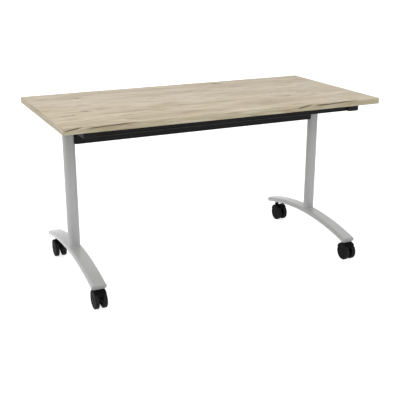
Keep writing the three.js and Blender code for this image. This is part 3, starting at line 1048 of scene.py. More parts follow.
@dataclass
class Tabletop(SubAssembly):
    """Board with an oak decor and a plastic strip glued to each edge."""

    glue_growth: float = 0.15 * MM
    board_arris: float = 0.08 * MM
    strip_arris: float = 1.2 * MM

    def build(self) -> None:
        """Models the board and its four strips."""
        board = Span.of("top_board")
        growth = Vector((self.glue_growth, self.glue_growth, 0.0))
        panel = boxed("board_panel", board.low - growth, board.high + growth)
        soften(panel, self.board_arris, segments=2)
        self.add(panel, OAK_BOARD, "top", "top_board")
        for end in End:
            self.add(self.long_strip(end), OAK_FRONT_STRIP, "top", f"edge_band_{end.word}")
        for side in Side:
            self.add(self.short_strip(side), OAK_SIDE_STRIP, "top", f"edge_band_{side.word}")

    def long_strip(self, end: End) -> Object:
        """Front or back strip, which covers the ends of the short ones.

        Args:
            end: Which strip.

        Returns:
            The strip, rounded on all edges but those at the glue line.
        """
        span = Span.of(f"edge_band_{end.word}")
        inner = span.corner(-end.value)
        strip = boxed(f"edge_strip_{end.word}", span.low, span.high)
        round_edges(strip, lambda edge: not lies_in(edge, inner, Axis.Y.direction), self.strip_arris)
        return strip

    def short_strip(self, side: Side) -> Object:
        """Left or right strip between the long ones.

        Args:
            side: Which strip.

        Returns:
            The strip, rounded on its two long outer edges.
        """
        span = Span.of(f"edge_band_{side.word}")
        outer = span.corner(side.value)
        growth = Vector((0.0, self.glue_growth, 0.0))
        strip = boxed(f"edge_strip_{side.word}", span.low - growth, span.high + growth)

        def is_long_outer(edge: BMEdge) -> bool:
            """Whether an edge runs along Y on the outer face."""
            return edge.calc_length() > 2 * span.size.z and lies_in(edge, outer, Axis.X.direction)

        round_edges(strip, is_long_outer, self.strip_arris)
        return strip


@dataclass
class TopFrame(SubAssembly):
    """Black frame under the board: two pressed arms with end caps, two rails and their screws."""

    wall: float = 2.5 * MM
    bend: float = 4.0 * MM
    edge_break: float = 0.35 * MM
    cap_plate: float = 3.0 * MM
    cap_corner: float = 6.0 * MM
    cap_rim: float = 1.2 * MM
    cap_plug: float = 4.0 * MM
    fit: float = 0.2 * MM
    bore: float = 5.3 * MM
    slide_gap: float = 0.6 * MM
    rail_corner: float = 2.0 * MM
    rail_wall: float = 1.5 * MM
    screw_radius: float = 4.2 * MM
    screw_height: float = 2.4 * MM
    recess_shares: Spot = (0.55, 0.14)
    recess_floor: float = 0.45
    arm_screws: tuple[float, ...] = (-250 * MM, -150 * MM, 110 * MM, 270 * MM)
    rail_screws: tuple[float, ...] = (-420 * MM, 0.0, 420 * MM)

    def build(self) -> None:
        """Models the arms, caps, rails and screws."""
        self.add_pair(self.arm(), BLACK_COAT, "top", "arm_left")
        for end in End:
            self.add_pair(self.arm_cap(end), BLACK_PLASTIC, "top", f"arm_cap_{end.word}_left")
        for end in End:
            self.add(self.rail(end), BLACK_COAT, "top", f"{end.word}_rail")
        self.add_screws()

    def upper_side(self) -> list[Spot]:
        """Upper side of the left arm's section with its two bends.

        Returns:
            Points in Z and X, from left to right.
        """
        arm, bend = Span.of("arm_left"), self.bend
        top = arm.high.z - bend
        return [*arc((top, arm.low.x + bend), bend, -90, 0), *arc((top, arm.high.x - bend), bend, 0, 90)]

    def arm(self) -> Object:
        """Pressed channel with bores for the pivot pin and a slot for the release bar.

        Returns:
            The left arm.
        """
        span, bar = Span.of("arm_left"), Span.of("release_bar")
        (x0, y0, z0), (x1, y1, z1) = span.low, span.high
        bend = self.bend - self.wall
        lid = z1 - self.wall - bend
        outline = [
            (z0, x0),
            *self.upper_side(),
            (z0, x1),
            (z0, x1 - self.wall),
            *arc((lid, x1 - self.wall - bend), bend, 90, 0, steps=4),
            *arc((lid, x0 + self.wall + bend), bend, 0, -90, steps=4),
            (z0, x0 + self.wall),
        ]
        channel = extruded("arm_channel_left", Axis.Y, outline, y0, y1)
        centre = Vector((span.middle.x, TILT_PIVOT.y, TILT_PIVOT.z))
        reach = bar.size.z / 2 + self.slide_gap
        slot_low = (bar.middle.y - RELEASE_TRAVEL - reach, z0 - 2 * reach)
        slot = rounded_rectangle(slot_low, (bar.middle.y + reach, bar.middle.z + reach), reach)
        combine(
            channel,
            Operation.CUT,
            rod(Axis.X, centre, self.bore, -span.size.x, span.size.x),
            extruded("slot", Axis.X, slot, span.middle.x, x1 + self.wall),
        )
        soften(channel, self.edge_break, segments=2, angle=40)
        return channel

    def arm_cap(self, end: End) -> Object:
        """Plastic cap on one end of the left arm.

        Args:
            end: Which end of the arm.

        Returns:
            The cap: a plate with a rounded rim and a plug inside the channel.
        """
        arm, corner = Span.of("arm_left"), self.cap_corner
        outer = Span.of(f"arm_cap_{end.word}_left").corner(end.value)
        inner = outer.y - end.value * self.cap_plate
        (x0, _, z0), (x1, _, z1) = arm.low, arm.high
        face = [
            *self.upper_side(),
            *arc((z0 + corner, x1 - corner), corner, 90, 180),
            *arc((z0 + corner, x0 + corner), corner, 180, 270),
        ]
        plate = extruded(f"arm_end_cap_{end.word}_left", Axis.Y, face, *sorted((inner, outer.y)))
        round_edges(plate, lambda edge: lies_in(edge, outer, Axis.Y.direction), self.cap_rim)
        inset = self.wall + self.fit
        deep, seat = sorted((inner - end.value * self.cap_plug, inner + end.value * self.fit))
        low, high = Vector((x0 + inset, deep, z0 + self.wall)), Vector((x1 - inset, seat, z1 - inset))
        combine(plate, Operation.JOIN, boxed("plug", low, high))
        return plate

    def rail(self, end: End) -> Object:
        """Square tube between the arms.

        Args:
            end: Whether it is the front or the back one.

        Returns:
            The rail.
        """
        span = Span.of(f"{end.word}_rail")
        section = span.section(self.rail_corner)
        return extruded(f"rail_tube_{end.word}", Axis.X, section, span.low.x, span.high.x, self.rail_wall)

    def screw(self) -> Object:
        """Pan-head screw with a cross recess.

        Returns:
            The screw, head down, seated at the origin.
        """
        radius, height = self.screw_radius, self.screw_height
        dome = [(-height * rise, radius * reach) for reach, rise in arc((0.0, 0.0), 1.0, 90, 0, steps=6)]
        screw = turned("screw", Axis.Z, Vector(), [*dome, (0.0, 0.0)], steps=24)
        long, short = (radius * share for share in self.recess_shares)
        for x, y in ((long, short), (short, long)):
            low, high = Vector((-x, -y, -2 * height)), Vector((x, y, -height * self.recess_floor))
            combine(screw, Operation.CUT, boxed("recess", low, high))
        return screw

    def add_screws(self) -> None:
        """Copies the screw along the arms and the back rail; the release bar lies under the front one."""
        screw, arm, rail = self.screw(), Span.of("arm_left"), Span.of("back_rail")
        for number, along in enumerate(self.arm_screws, start=1):
            seat = Vector((arm.middle.x, arm.middle.y + along, arm.high.z - self.wall))
            self.add_pair(copied(screw, f"arm_screw_{number}_left", seat), ZINC_PLATE, "top")
        for number, along in enumerate(self.rail_screws, start=1):
            seat = Vector((along, rail.middle.y, rail.low.z))
            self.add(copied(screw, f"rail_screw_{number}", seat), ZINC_PLATE, "top")
        bpy.data.objects.remove(screw)


@dataclass
class TiltPivot(SubAssembly):
    """Cast head on each column with the bush and the pin on which the top tilts."""

    plate: float = 6.0 * MM
    plate_rounding: float = 1.0 * MM
    fit: float = 0.2 * MM
    eye_drop: float = 10.0 * MM
    width: float = 40.0 * MM
    head_rounding: float = 1.2 * MM
    column_wall: float = 2.0 * MM
    bush_radius: float = 8.2 * MM
    bush_rounding: float = 0.3 * MM
    pin_radius: float = 5.0 * MM
    pin_head: float = 8.0 * MM
    pin_head_height: float = 3.0 * MM
    pin_rounding: float = 0.7 * MM
    socket_radius: float = 4.1 * MM
    socket_depth: float = 14.6 * MM

    @property
    def pivot(self) -> Vector:
        """Point on the pivot's axis, above the left column."""
        return Vector((Span.of("column_left").middle.x, TILT_PIVOT.y, TILT_PIVOT.z))

    def build(self) -> None:
        """Models the head, the bush and the pin of the left leg and mirrors them."""
        self.add_pair(self.head(), BLACK_CAST, "base", "pivot_head_left")
        self.add_pair(self.bush(), GREY_ACETAL, "base", "pivot_bush_left")
        self.add_pair(self.pin(), ZINC_PLATE, "top", "pivot_pin_left")

    def head(self) -> Object:
        """Casting: a plate and a plug on the column and a sector about the pivot.

        Returns:
            The head.
        """
        span, column, pivot = Span.of("pivot_head_left"), Span.of("column_left"), self.pivot
        reach, rim = span.high.y - pivot.y, pivot.y - span.low.y
        plate_low = column.high.z + self.fit
        block_low = plate_low + self.plate / 2
        first = 180 - math.degrees(math.asin(reach / rim))
        last = 180 - math.degrees(math.asin((block_low - pivot.z) / rim))
        sector = [
            (column.high.y, block_low),
            (pivot.y + reach, pivot.z - self.eye_drop),
            *arc((pivot.y, pivot.z), reach, 0, 90, steps=12),
            *arc((pivot.y, pivot.z), rim, first, last, steps=16),
        ]
        half = self.width / 2
        head = extruded("head_casting_left", Axis.X, sector, pivot.x - half, pivot.x + half)
        soften(head, self.head_rounding)
        plate = extruded("plate", Axis.Z, column.oval(), plate_low, plate_low + self.plate)
        soften(plate, self.plate_rounding)
        core = column.oval(-self.column_wall - self.fit)
        combine(head, Operation.JOIN, plate, extruded("plug", Axis.Z, core, span.low.z, block_low))
        bolt_tip = Span.of("latch_bolt_left").high.y
        mouth = Vector((pivot.x, bolt_tip, Span.of("release_bar").middle.z))
        combine(
            head,
            Operation.CUT,
            rod(Axis.X, pivot, self.bush_radius + self.fit, -self.width, self.width),
            rod(Axis.Y, mouth, self.socket_radius, -self.fit, self.socket_depth),
        )
        return head

    def bush(self) -> Object:
        """Sleeve in the head, about the pivot.

        Returns:
            The bush.
        """
        span, pivot = Span.of("pivot_bush_left"), self.pivot
        low, high = span.low.x - pivot.x, span.high.x - pivot.x
        bore = self.pin_radius + self.fit
        ring = [(low, bore), (high, bore), (high, self.bush_radius), (low, self.bush_radius)]
        bush = turned("bush_sleeve_left", Axis.X, pivot, ring)
        soften(bush, self.bush_rounding, segments=2)
        return bush

    def pin(self) -> Object:
        """Pin with a head on the outer face of the arm and a collar on the inner one.

        Returns:
            The pin.
        """
        span, arm, pivot = Span.of("pivot_pin_left"), Span.of("arm_left"), self.pivot
        low, high = span.low.x - pivot.x, span.high.x - pivot.x
        collar = arm.high.x - pivot.x + self.fit
        profile = stepped(
            low,
            (low + self.pin_head_height, self.pin_head),
            (collar, self.pin_radius),
            (collar + self.pin_head_height / 2, self.pin_head),
            (high, self.pin_radius),
        )
        shaft = turned("pin_shaft_left", Axis.X, pivot, profile)
        soften(shaft, self.pin_rounding)
        return shaft


@dataclass
class Latch(SubAssembly):
    """Release bar under the front rail, with a sprung bolt in each arm."""

    bar_rounding: float = 1.2 * MM
    bolt_radius: float = 3.5 * MM
    bolt_rounding: float = 0.6 * MM
    collar_radius: float = 6.0 * MM
    collar_length: float = 5.0 * MM
    collar_setback: float = 42.0 * MM
    block: Vector = field(default_factory=lambda: Vector((12, 13, 13)) * MM)
    block_rounding: float = 1.0 * MM
    fit: float = 0.2 * MM
    sheet: float = 3.0 * MM
    sheet_rounding: float = 0.4 * MM
    hole_play: float = 0.3 * MM
    wire: float = 1.0 * MM
    wire_sides: int = 10
    spring_radius: float = 4.75 * MM
    spring_turns: int = 6
    turn_steps: int = 24

    def build(self) -> None:
        """Models the bar and the bolt, bracket and spring of the left arm, and mirrors those."""
        bar = Span.of("release_bar")
        self.add(self.bar(bar), BLACK_COAT, "release", "release_bar")
        self.add_pair(self.bolt(bar), ZINC_PLATE, "release", "latch_bolt_left")
        self.add_pair(self.bracket(bar), BLACK_COAT, "top", "latch_bracket_left")
        self.add_pair(self.spring(), ZINC_PLATE, "top", "latch_spring_left")

    def bar(self, span: Span) -> Object:
        """Round bar along the front rail, with rounded ends.

        Args:
            span: Box of the bar.

        Returns:
            The bar.
        """
        reach, radius = span.size.x / 2, span.size.z / 2
        bar = turned("release_rod", Axis.X, span.middle, stepped(-reach, (reach, radius)), steps=40)
        soften(bar, self.bar_rounding, segments=4)
        return bar

    def bolt(self, bar: Span) -> Object:
        """Round bolt with a collar for its spring and a block that holds the release bar.

        Args:
            bar: Box of the release bar.

        Returns:
            The left bolt.
        """
        bolt = Span.of("latch_bolt_left")
        centre = Vector((bolt.middle.x, bar.middle.y, bar.middle.z))
        tip = bolt.high.y - centre.y
        back = tip - self.collar_setback
        front = back - self.collar_length
        parts = ((front, self.bolt_radius), (back, self.collar_radius), (tip, self.bolt_radius))
        shaft = turned("bolt_rod_left", Axis.Y, centre, stepped(0.0, *parts), steps=32)
        soften(shaft, self.bolt_rounding, segments=2)
        block = boxed("block", centre - self.block / 2, centre + self.block / 2)
        soften(block, self.block_rounding)
        combine(shaft, Operation.JOIN, block)
        hole = bar.size.z / 2 + self.fit
        combine(shaft, Operation.CUT, rod(Axis.X, centre, hole, -self.block.x, self.block.x))
        return shaft

    def bracket(self, bar: Span) -> Object:
        """Bent strip under the arm, with two drilled ears that guide the bolt.

        Args:
            bar: Box of the release bar.

        Returns:
            The left bracket.
        """
        span, sheet = Span.of("latch_bracket_left"), self.sheet
        (x0, y0, z0), (x1, y1, z1) = span.low, span.high
        bend = sheet / 2
        front, back = ((y, z1 - sheet - bend) for y in (y0 + sheet + bend, y1 - sheet - bend))
        strip = [
            (y0, z0),
            (y0 + sheet, z0),
            *arc(front, bend, 180, 90, steps=4),
            *arc(back, bend, 90, 0, steps=4),
            (y1 - sheet, z0),
            (y1, z0),
            *arc(back, sheet + bend, 0, 90, steps=6),
            *arc(front, sheet + bend, 90, 180, steps=6),
        ]
        bracket = extruded("bracket_strip_left", Axis.X, strip, x0, x1)
        centre = Vector((span.middle.x, span.middle.y, bar.middle.z))
        drill = rod(Axis.Y, centre, self.bolt_radius + self.hole_play, -span.size.y, span.size.y)
        combine(bracket, Operation.CUT, drill)
        soften(bracket, self.sheet_rounding, segments=2, angle=40)
        return bracket

    def spring(self) -> Object:
        """Coil spring between the bracket's front ear and the bolt's collar.

        Returns:
            The left spring.
        """
        span, turns, steps = Span.of("latch_spring_left"), self.spring_turns, self.turn_steps
        rise = (span.size.y - self.wire) / turns
        start = (self.spring_radius, 0.0, 0.0)
        bpy.ops.object.select_all(action="DESELECT")
        bpy.ops.mesh.primitive_circle_add(vertices=self.wire_sides, radius=self.wire / 2, location=start)
        coil = taken("spring_coil_left")
        modify(coil, "SCREW", axis="Y", screw_offset=rise, iterations=turns, steps=steps, render_steps=steps)
        with editing(coil):
            bpy.ops.mesh.fill_holes(sides=0)
            face_outwards()
        coil.location = (span.middle.x, span.low.y + self.wire / 2, span.middle.z)
        put_on_bench(coil)
        return taken(coil.name)

    def dress(self) -> None:
        """Dresses every piece and gives each spring a mesh of its own."""
        super().dress()
        for side in Side:
            span = Span.of(f"latch_spring_{side.word}")
            coil = bpy.data.objects[f"spring_coil_{side.word}"]
            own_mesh(coil)


@dataclass
class Leg(SubAssembly):
    """Two silver T-shaped legs: an arched foot of flat-oval tube with caps, and a column welded on it."""

    arc_radius: float = 1350.0 * MM
    arc_steps: int = 48
    thickness: float = 23.0 * MM
    foot_wall: float = 2.0 * MM
    cap_plate: float = 4.0 * MM
    cap_plug: float = 16.0 * MM
    cap_rim: float = 3.0 * MM
    fit: float = 0.3 * MM
    stud_hole: float = 5.3 * MM
    hole_share: float = 1 / 3
    stud_start: float = 4.0 * MM
    spindle: float = 4.0 * MM
    stem_rounding: float = 0.8 * MM
    column_wall: float = 2.0 * MM
    column_rounding: float = 0.3 * MM
    bead: float = 1.9 * MM
    bead_resolution: int = 3

    @property
    def foot(self) -> Span:
        """Box of the left foot's tube."""
        return Span.of("foot_left")

    @property
    def axis_point(self) -> Vector:
        """Centre of the left foot's arc."""
        return Vector((self.foot.middle.x, self.foot.middle.y, self.foot.high.z - self.arc_radius))

    @property
    def middle_radius(self) -> float:
        """Radius of the arc through the middle of the foot's section."""
        return self.arc_radius - self.thickness / 2

    def angle_at(self, y: float) -> float:
        """Angle about the arc's centre, from the upright, at which the foot's upper edge reaches a Y."""
        return math.asin((y - self.axis_point.y) / self.arc_radius)

    def bar(self, name: str, start: float, stop: float, filled: bool, inset: float = 0.0) -> Object:
        """Piece of the foot's flat-oval bar between two planes across its arc.

        Args:
            name: Name of the new object.
            start: Angle of the first plane about the arc's centre, from the upright.
            stop: Angle of the second plane.
            filled: Whether the ends are closed.
            inset: How far its sides are set in from the foot's.

        Returns:
            The bar.
        """
        centre = self.axis_point
        out = Vector((0.0, math.sin(start), math.cos(start)))
        width, depth = self.foot.size.x - 2 * inset, self.thickness - 2 * inset
        outline = flat_oval((0.0, self.middle_radius), width, depth)
        line = traced(name, [centre + Vector((x, 0.0, 0.0)) + rise * out for x, rise in outline])
        share = (stop - start) / (2 * self.angle_at(self.foot.high.y))
        steps = max(1, round(self.arc_steps * share))
        return spun(line, Axis.X, centre, stop - start, steps, filled)

    def bar_around(self, low: float, high: float) -> Object:
        """Filled bar along the foot between two values of Y, which cuts what stands on or under the foot."""
        return self.bar("around", self.angle_at(low), self.angle_at(high), filled=True)

    def build(self) -> None:
        """Models the left leg and mirrors it."""
        self.add_pair(self.foot_tube(), SILVER_COAT, "base", "foot_left")
        for end in End:
            self.add_pair(self.foot_cap(end), SILVER_CAP, "base", f"foot_cap_{end.word}_left")
        self.add_pair(self.column(), SILVER_COAT, "base", "column_left")
        self.add_pair(self.weld(), SILVER_COAT, "base")
        for end in End:
            self.add_pair(self.stem(end), ZINC_PLATE, "base", f"caster_stem_{end.word}_left")

    def foot_tube(self) -> Object:
        """Arched tube with a hole for the stud of each caster.

        Returns:
            The left foot.
        """
        reach = self.angle_at(self.foot.high.y)
        foot = self.bar("foot_tube_left", -reach, reach, filled=False)
        walled(foot, self.foot_wall)
        for end in End:
            stem = Span.of(f"caster_stem_{end.word}_left")
            rise = stem.size.z * self.hole_share
            hole = rod(Axis.Z, stem.middle, self.stud_hole, -stem.size.z, rise)
            combine(foot, Operation.CUT, hole)
        return foot

    def foot_cap(self, end: End) -> Object:
        """Cap on one end of the left foot.

        Args:
            end: Which end of the foot.

        Returns:
            The cap: a slice of the foot's bar with a rounded rim and a plug in the tube.
        """
        centre, inwards = self.axis_point, -end.value / self.middle_radius
        outer = self.angle_at(Span.of(f"foot_cap_{end.word}_left").corner(end.value).y)
        inner = outer + self.cap_plate * inwards
        across = Vector((0.0, math.cos(outer), -math.sin(outer)))
        cap = self.bar(f"foot_end_cap_{end.word}_left", *sorted((inner, outer)), filled=True)
        round_edges(cap, lambda edge: lies_in(edge, centre, across), self.cap_rim, segments=6)
        deep, seat = sorted((inner + self.cap_plug * inwards, inner - self.fit * inwards))
        plug = self.bar("plug", deep, seat, filled=True, inset=self.foot_wall + self.fit)
        combine(cap, Operation.JOIN, plug)
        return cap

    def column(self) -> Object:
        """Flat-oval tube that stands on the foot and is cut to its surface.

        Returns:
            The left column.
        """
        span = Span.of("column_left")
        start = self.foot.high.z - self.thickness / 2
        column = extruded("column_tube_left", Axis.Z, span.oval(), start, span.high.z, self.column_wall)
        crown = self.bar_around(span.low.y - span.size.y, span.high.y + span.size.y)
        combine(column, Operation.CUT, crown)
        soften(column, self.column_rounding, segments=2, angle=50)
        return column

    def weld(self) -> Object:
        """Bead of weld around the column where it stands on the foot.

        Returns:
            The bead of the left leg.
        """
        name, centre = "column_weld_left", self.axis_point
        half_flat = (self.foot.size.x - self.thickness) / 2
        loop = []
        for x, y in Span.of("column_left").oval(steps=32):
            over = max(0.0, abs(x - centre.x) - half_flat)
            swell = math.sqrt((self.thickness / 2) ** 2 - over**2)
            rise = math.sqrt((self.middle_radius + swell) ** 2 - (y - centre.y) ** 2)
            loop.append(Vector((x, y, centre.z + rise)))
        put_on_bench(traced(name, loop))
        bpy.ops.object.convert(target="CURVE")
        bead = bpy.context.active_object
        bead.data.bevel_depth = self.bead
        bead.data.bevel_resolution = self.bead_resolution
        bpy.ops.object.convert(target="MESH")
        bead = taken(name)
        with editing(bead):
            face_outwards()
        return bead

    def stem(self, end: End) -> Object:
        """Stem of a caster: a spindle in its hood, a collar under the foot and a stud inside it.

        Args:
            end: Which end of the foot.

        Returns:
            The stem.
        """
        span, hood = Span.of(f"caster_stem_{end.word}_left"), Span.of(f"caster_hood_{end.word}_left")
        axis, low, high = span.floor_spot, span.low.z, span.high.z
        collar_low = hood.high.z + self.fit
        profile = stepped(low, (collar_low, self.spindle), (high, span.size.x / 2))
        stem = turned(f"stem_collar_{end.word}_left", Axis.Z, axis, profile, steps=40)
        soften(stem, self.stem_rounding)
        around = self.bar_around(span.low.y - self.thickness, span.high.y + self.thickness)
        combine(stem, Operation.CUT, around)
        stud = rod(Axis.Z, axis, self.stud_hole - self.fit, collar_low + self.stud_start, high, steps=40)
        combine(stem, Operation.JOIN, stud)
        return stem


@dataclass
class Crossbeam(SubAssembly):
    """Black tube between the columns, with a fitting at each end that holds the column's round side."""

    corner: float = 4.0 * MM
    wall: float = 2.0 * MM
    fit: float = 0.2 * MM
    plate: float = 3.7 * MM
    horn_depth: float = 28.0 * MM
    cope_gap: float = 0.3 * MM
    fitting_rounding: float = 0.5 * MM

    def build(self) -> None:
        """Models the tube and the left fitting, and mirrors that."""
        beam = Span.of("crossbeam")
        section = beam.section(self.corner, steps=8)
        beam_tube = extruded("beam_tube", Axis.X, section, beam.low.x, beam.high.x, self.wall)
        self.add(beam_tube, BLACK_COAT, "base", "crossbeam")
        self.add_pair(self.fitting(beam), BLACK_PLASTIC, "base", "beam_saddle_left")

    def fitting(self, beam: Span) -> Object:
        """Fitting with a plate on the beam's end, a plug in it and horns around the column.

        Args:
            beam: Box of the beam.

        Returns:
            The left fitting.
        """
        span, column = Span.of("beam_saddle_left"), Span.of("column_left")
        end = beam.low.x - self.fit
        middle = end - self.plate / 2
        plate = beam.section(self.corner, steps=8)
        fitting = extruded("beam_fitting_left", Axis.X, plate, end - self.plate, end)
        narrow, thin = (beam.size.y - self.horn_depth) / 2, self.wall + self.fit
        horns = beam.section(self.corner, (narrow, 0.0), steps=8)
        plug = beam.section(self.corner - self.wall, (thin, thin))
        combine(
            fitting,
            Operation.JOIN,
            extruded("horns", Axis.X, horns, span.low.x, middle),
            extruded("plug", Axis.X, plug, middle, span.high.x),
        )
        space_low, space_high = beam.low.z - beam.size.z, beam.high.z + beam.size.z
        space = extruded("space", Axis.Z, column.oval(self.cope_gap), space_low, space_high)
        combine(fitting, Operation.CUT, space)
        soften(fitting, self.fitting_rounding, segments=2, angle=40)
        return fitting


@dataclass
class Casters(SubAssembly):
    """Four twin-wheel swivel casters; the two at the front have a brake pedal."""

    wheel_radius: float = 37.5 * MM
    wheel_width: float = 18.0 * MM
    wheel_gap: float = 15.0 * MM
    trail: float = 29.0 * MM
    shoulder: float = 3.5 * MM
    tyre_seat: float = 31.6 * MM
    tyre_fit: float = 0.05 * MM
    tyre_groove: float = 0.9 * MM
    tyre_set_in: float = 0.1 * MM
    dish_radius: float = 28.0 * MM
    dish_depth: float = 1.2 * MM
    inner_dish: float = 5.0 * MM
    hub_radius: float = 9.0 * MM
    hub_slope: Spot = (2.0 * MM, 1.0 * MM)
    lip: float = 0.8 * MM
    core_rounding: float = 0.3 * MM
    axle_radius: float = 4.0 * MM
    axle_sink: float = 14.0 * MM
    axle_chamfer: float = 0.5 * MM
    play: float = 0.3 * MM
    hood_inner: float = 38.7 * MM
    hood_outer: float = 41.7 * MM
    hood_width: float = 50.0 * MM
    hood_shoulder: float = 2.6 * MM
    hood_rounding: float = 0.8 * MM
    hood_angles: Spot = (20.0, 127.0)
    web: float = 10.0 * MM
    web_hub_angles: Spot = (187.0, 350.0)
    boss_radius: float = 7.0 * MM
    boss_length: float = 28.0 * MM
    boss_rim: float = 10.0 * MM
    boss_rim_height: float = 6.5 * MM
    boss_rounding: float = 0.7 * MM
    spindle_length: float = 24.0 * MM
    pedal_angle: float = 123.0
    pedal_press: float = 12.0
    pedal_size: Vector = field(default_factory=lambda: Vector((24.0, 17.0, 2.4)) * MM)
    pedal_rounding: float = 1.0 * MM
    pedal_notch: Spot = (117.0, 130.0)
    rib_places: tuple[float, ...] = (0.55, 0.7, 0.85)
    rib_reach: float = 0.7
    rib_width: float = 1.0 * MM
    rib_height: float = 0.4 * MM
    rib_rounding: float = 0.3 * MM
    knuckle: float = 2.2 * MM
    knuckle_rounding: float = 0.4 * MM
    hinge_pin: float = 0.8 * MM
    hinge_pin_length: float = 2.5 * MM

    @property
    def axle(self) -> Vector:
        """Middle of the axle, seen from the swivel axis on the floor."""
        return Vector((0.0, -self.trail, self.wheel_radius))

    @property
    def wheel_faces(self) -> Spot:
        """Inner and outer face of a right wheel on X."""
        return (self.wheel_gap / 2, self.wheel_gap / 2 + self.wheel_width)

    @property
    def hood_top(self) -> float:
        """Height of the hood."""
        return self.wheel_radius + self.hood_outer

    @property
    def hood_middle(self) -> float:
        """Radius of the middle of the hood's wall about the axle."""
        return (self.hood_inner + self.hood_outer) / 2

    @property
    def hinge(self) -> Vector:
        """Middle of the pedal's hinge."""
        return Vector((0.0, *self.about_axle(self.hood_middle, self.pedal_angle)))

    def about_axle(self, radius: float, degrees: float) -> Spot:
        """Point at a radius and an angle about the axle, in Y and Z."""
        angle = math.radians(degrees)
        return (self.axle.y + radius * math.cos(angle), self.axle.z + radius * math.sin(angle))

    def build(self) -> None:
        """Models each kind of piece once at the swivel axis and copies it to the casters."""
        hoods = {End.FRONT: self.hood("hood_front", True), End.BACK: self.hood("hood_back", False)}
        axle, pedal = self.axle_rod(), self.pedal()
        cores, tyres = {Side.RIGHT: self.core()}, {Side.RIGHT: self.tyre()}
        cores[Side.LEFT] = mirrored(cores[Side.RIGHT], "core_left")
        tyres[Side.LEFT] = mirrored(tyres[Side.RIGHT], "tyre_left")
        for place, end in ((f"{end.word}_{side.word}", end) for side in Side for end in End):
            move, body = Span.of(f"caster_stem_{place}").floor_spot, f"caster_{place}"
            hood = copied(hoods[end], f"hood_shell_{place}", move)
            self.add(hood, CASTER_NYLON, body, f"caster_hood_{place}")
            self.add(copied(axle, f"axle_rod_{place}", move), ZINC_PLATE, body, f"caster_axle_{place}")
            for side in Side:
                wheel = f"wheel_{side.word}_of_{place}"
                core = copied(cores[side], f"wheel_core_{side.word}_of_{place}", move)
                self.add(core, CASTER_NYLON, wheel, wheel)
                tyre = copied(tyres[side], f"wheel_tyre_{side.word}_of_{place}", move)
                self.add(tyre, SOFT_TREAD, wheel)
            if end is End.FRONT:
                lever = copied(pedal, f"pedal_lever_{place}", move)
                self.add(lever, CASTER_NYLON, f"brake_{place}", f"brake_pedal_{place}")
        for pattern in (*hoods.values(), axle, pedal, *cores.values(), *tyres.values()):
            bpy.data.objects.remove(pattern)

    def hood(self, name: str, has_brake: bool) -> Object:
        """Hood over both wheels, with the web between them and the swivel boss.

        Args:
            name: Name of the new object.
            has_brake: Whether the tail is cut out for a brake pedal.

        Returns:
            The hood.
        """
        shoulder, outer = self.hood_shoulder, self.hood_outer - self.hood_shoulder
        half = self.hood_width / 2
        section = [
            (-half, self.hood_inner),
            (half, self.hood_inner),
            *arc((half - shoulder, outer), shoulder, 0, 90, steps=6),
            *arc((shoulder - half, outer), shoulder, 90, 180, steps=6),
        ]
        start, stop = self.hood_angles
        line = traced(name, [Vector((x, *self.about_axle(radius, start))) for x, radius in section])
        hood = spun(line, Axis.X, self.axle, math.radians(start - stop), steps=36, filled=True)
        soften(hood, self.hood_rounding, angle=50)
        combine(hood, Operation.JOIN, self.web_plate(), self.boss())
        bore, swivel = self.axle_radius + self.play, Vector((0.0, 0.0, self.hood_top))
        combine(
            hood,
            Operation.CUT,
            rod(Axis.X, self.axle, bore, -self.web, self.web),
            rod(Axis.Z, swivel, bore, -self.spindle_length - self.play, self.web),
        )
        if has_brake:
            self.cut_for_pedal(hood)
        return hood

    def cut_for_pedal(self, hood: Object) -> None:
        """Cuts a notch for the pedal and sockets for its hinge pins.

        Args:
            hood: The hood to change.
        """
        centre, (start, stop) = (self.axle.y, self.axle.z), self.pedal_notch
        reach = self.pedal_size.x / 2 + self.play
        socket = reach + self.hinge_pin_length
        notch = [
            *arc(centre, self.hood_outer + self.web, start, stop, steps=4),
            *arc(centre, self.hub_radius, stop, start, steps=4),
        ]
        combine(
            hood,
            Operation.CUT,
            extruded("notch", Axis.X, notch, -reach, reach),
            rod(Axis.X, self.hinge, self.hinge_pin + self.play, -socket, socket, steps=16),
        )

    def web_plate(self) -> Object:
        """Plate between the wheels that carries the axle.

        Returns:
            The plate.
        """
        centre = (self.axle.y, self.axle.z)
        outline = [
            *arc(centre, self.hood_middle, *self.hood_angles, steps=24),
            *arc(centre, self.hub_radius, *self.web_hub_angles, steps=16),
        ]
        web = extruded("web", Axis.X, outline, -self.web / 2, self.web / 2)
        soften(web, self.hood_rounding, segments=2)
        return web

    def boss(self) -> Object:
        """Round boss in which the stem's spindle turns.

        Returns:
            The boss.
        """
        top = self.hood_top
        rim = (top - self.boss_rim_height, self.boss_radius)
        profile = stepped(top - self.boss_length, rim, (top, self.boss_rim))
        boss = turned("boss", Axis.Z, Vector(), profile, steps=36)
        soften(boss, self.boss_rounding, segments=2)
        return boss

    def axle_rod(self) -> Object:
        """Axle with chamfered ends.

        Returns:
            The axle.
        """
        reach = self.wheel_gap / 2 + self.axle_sink
        axle = rod(Axis.X, self.axle, self.axle_radius, -reach, reach)
        soften(axle, self.axle_chamfer, segments=1)
        return axle

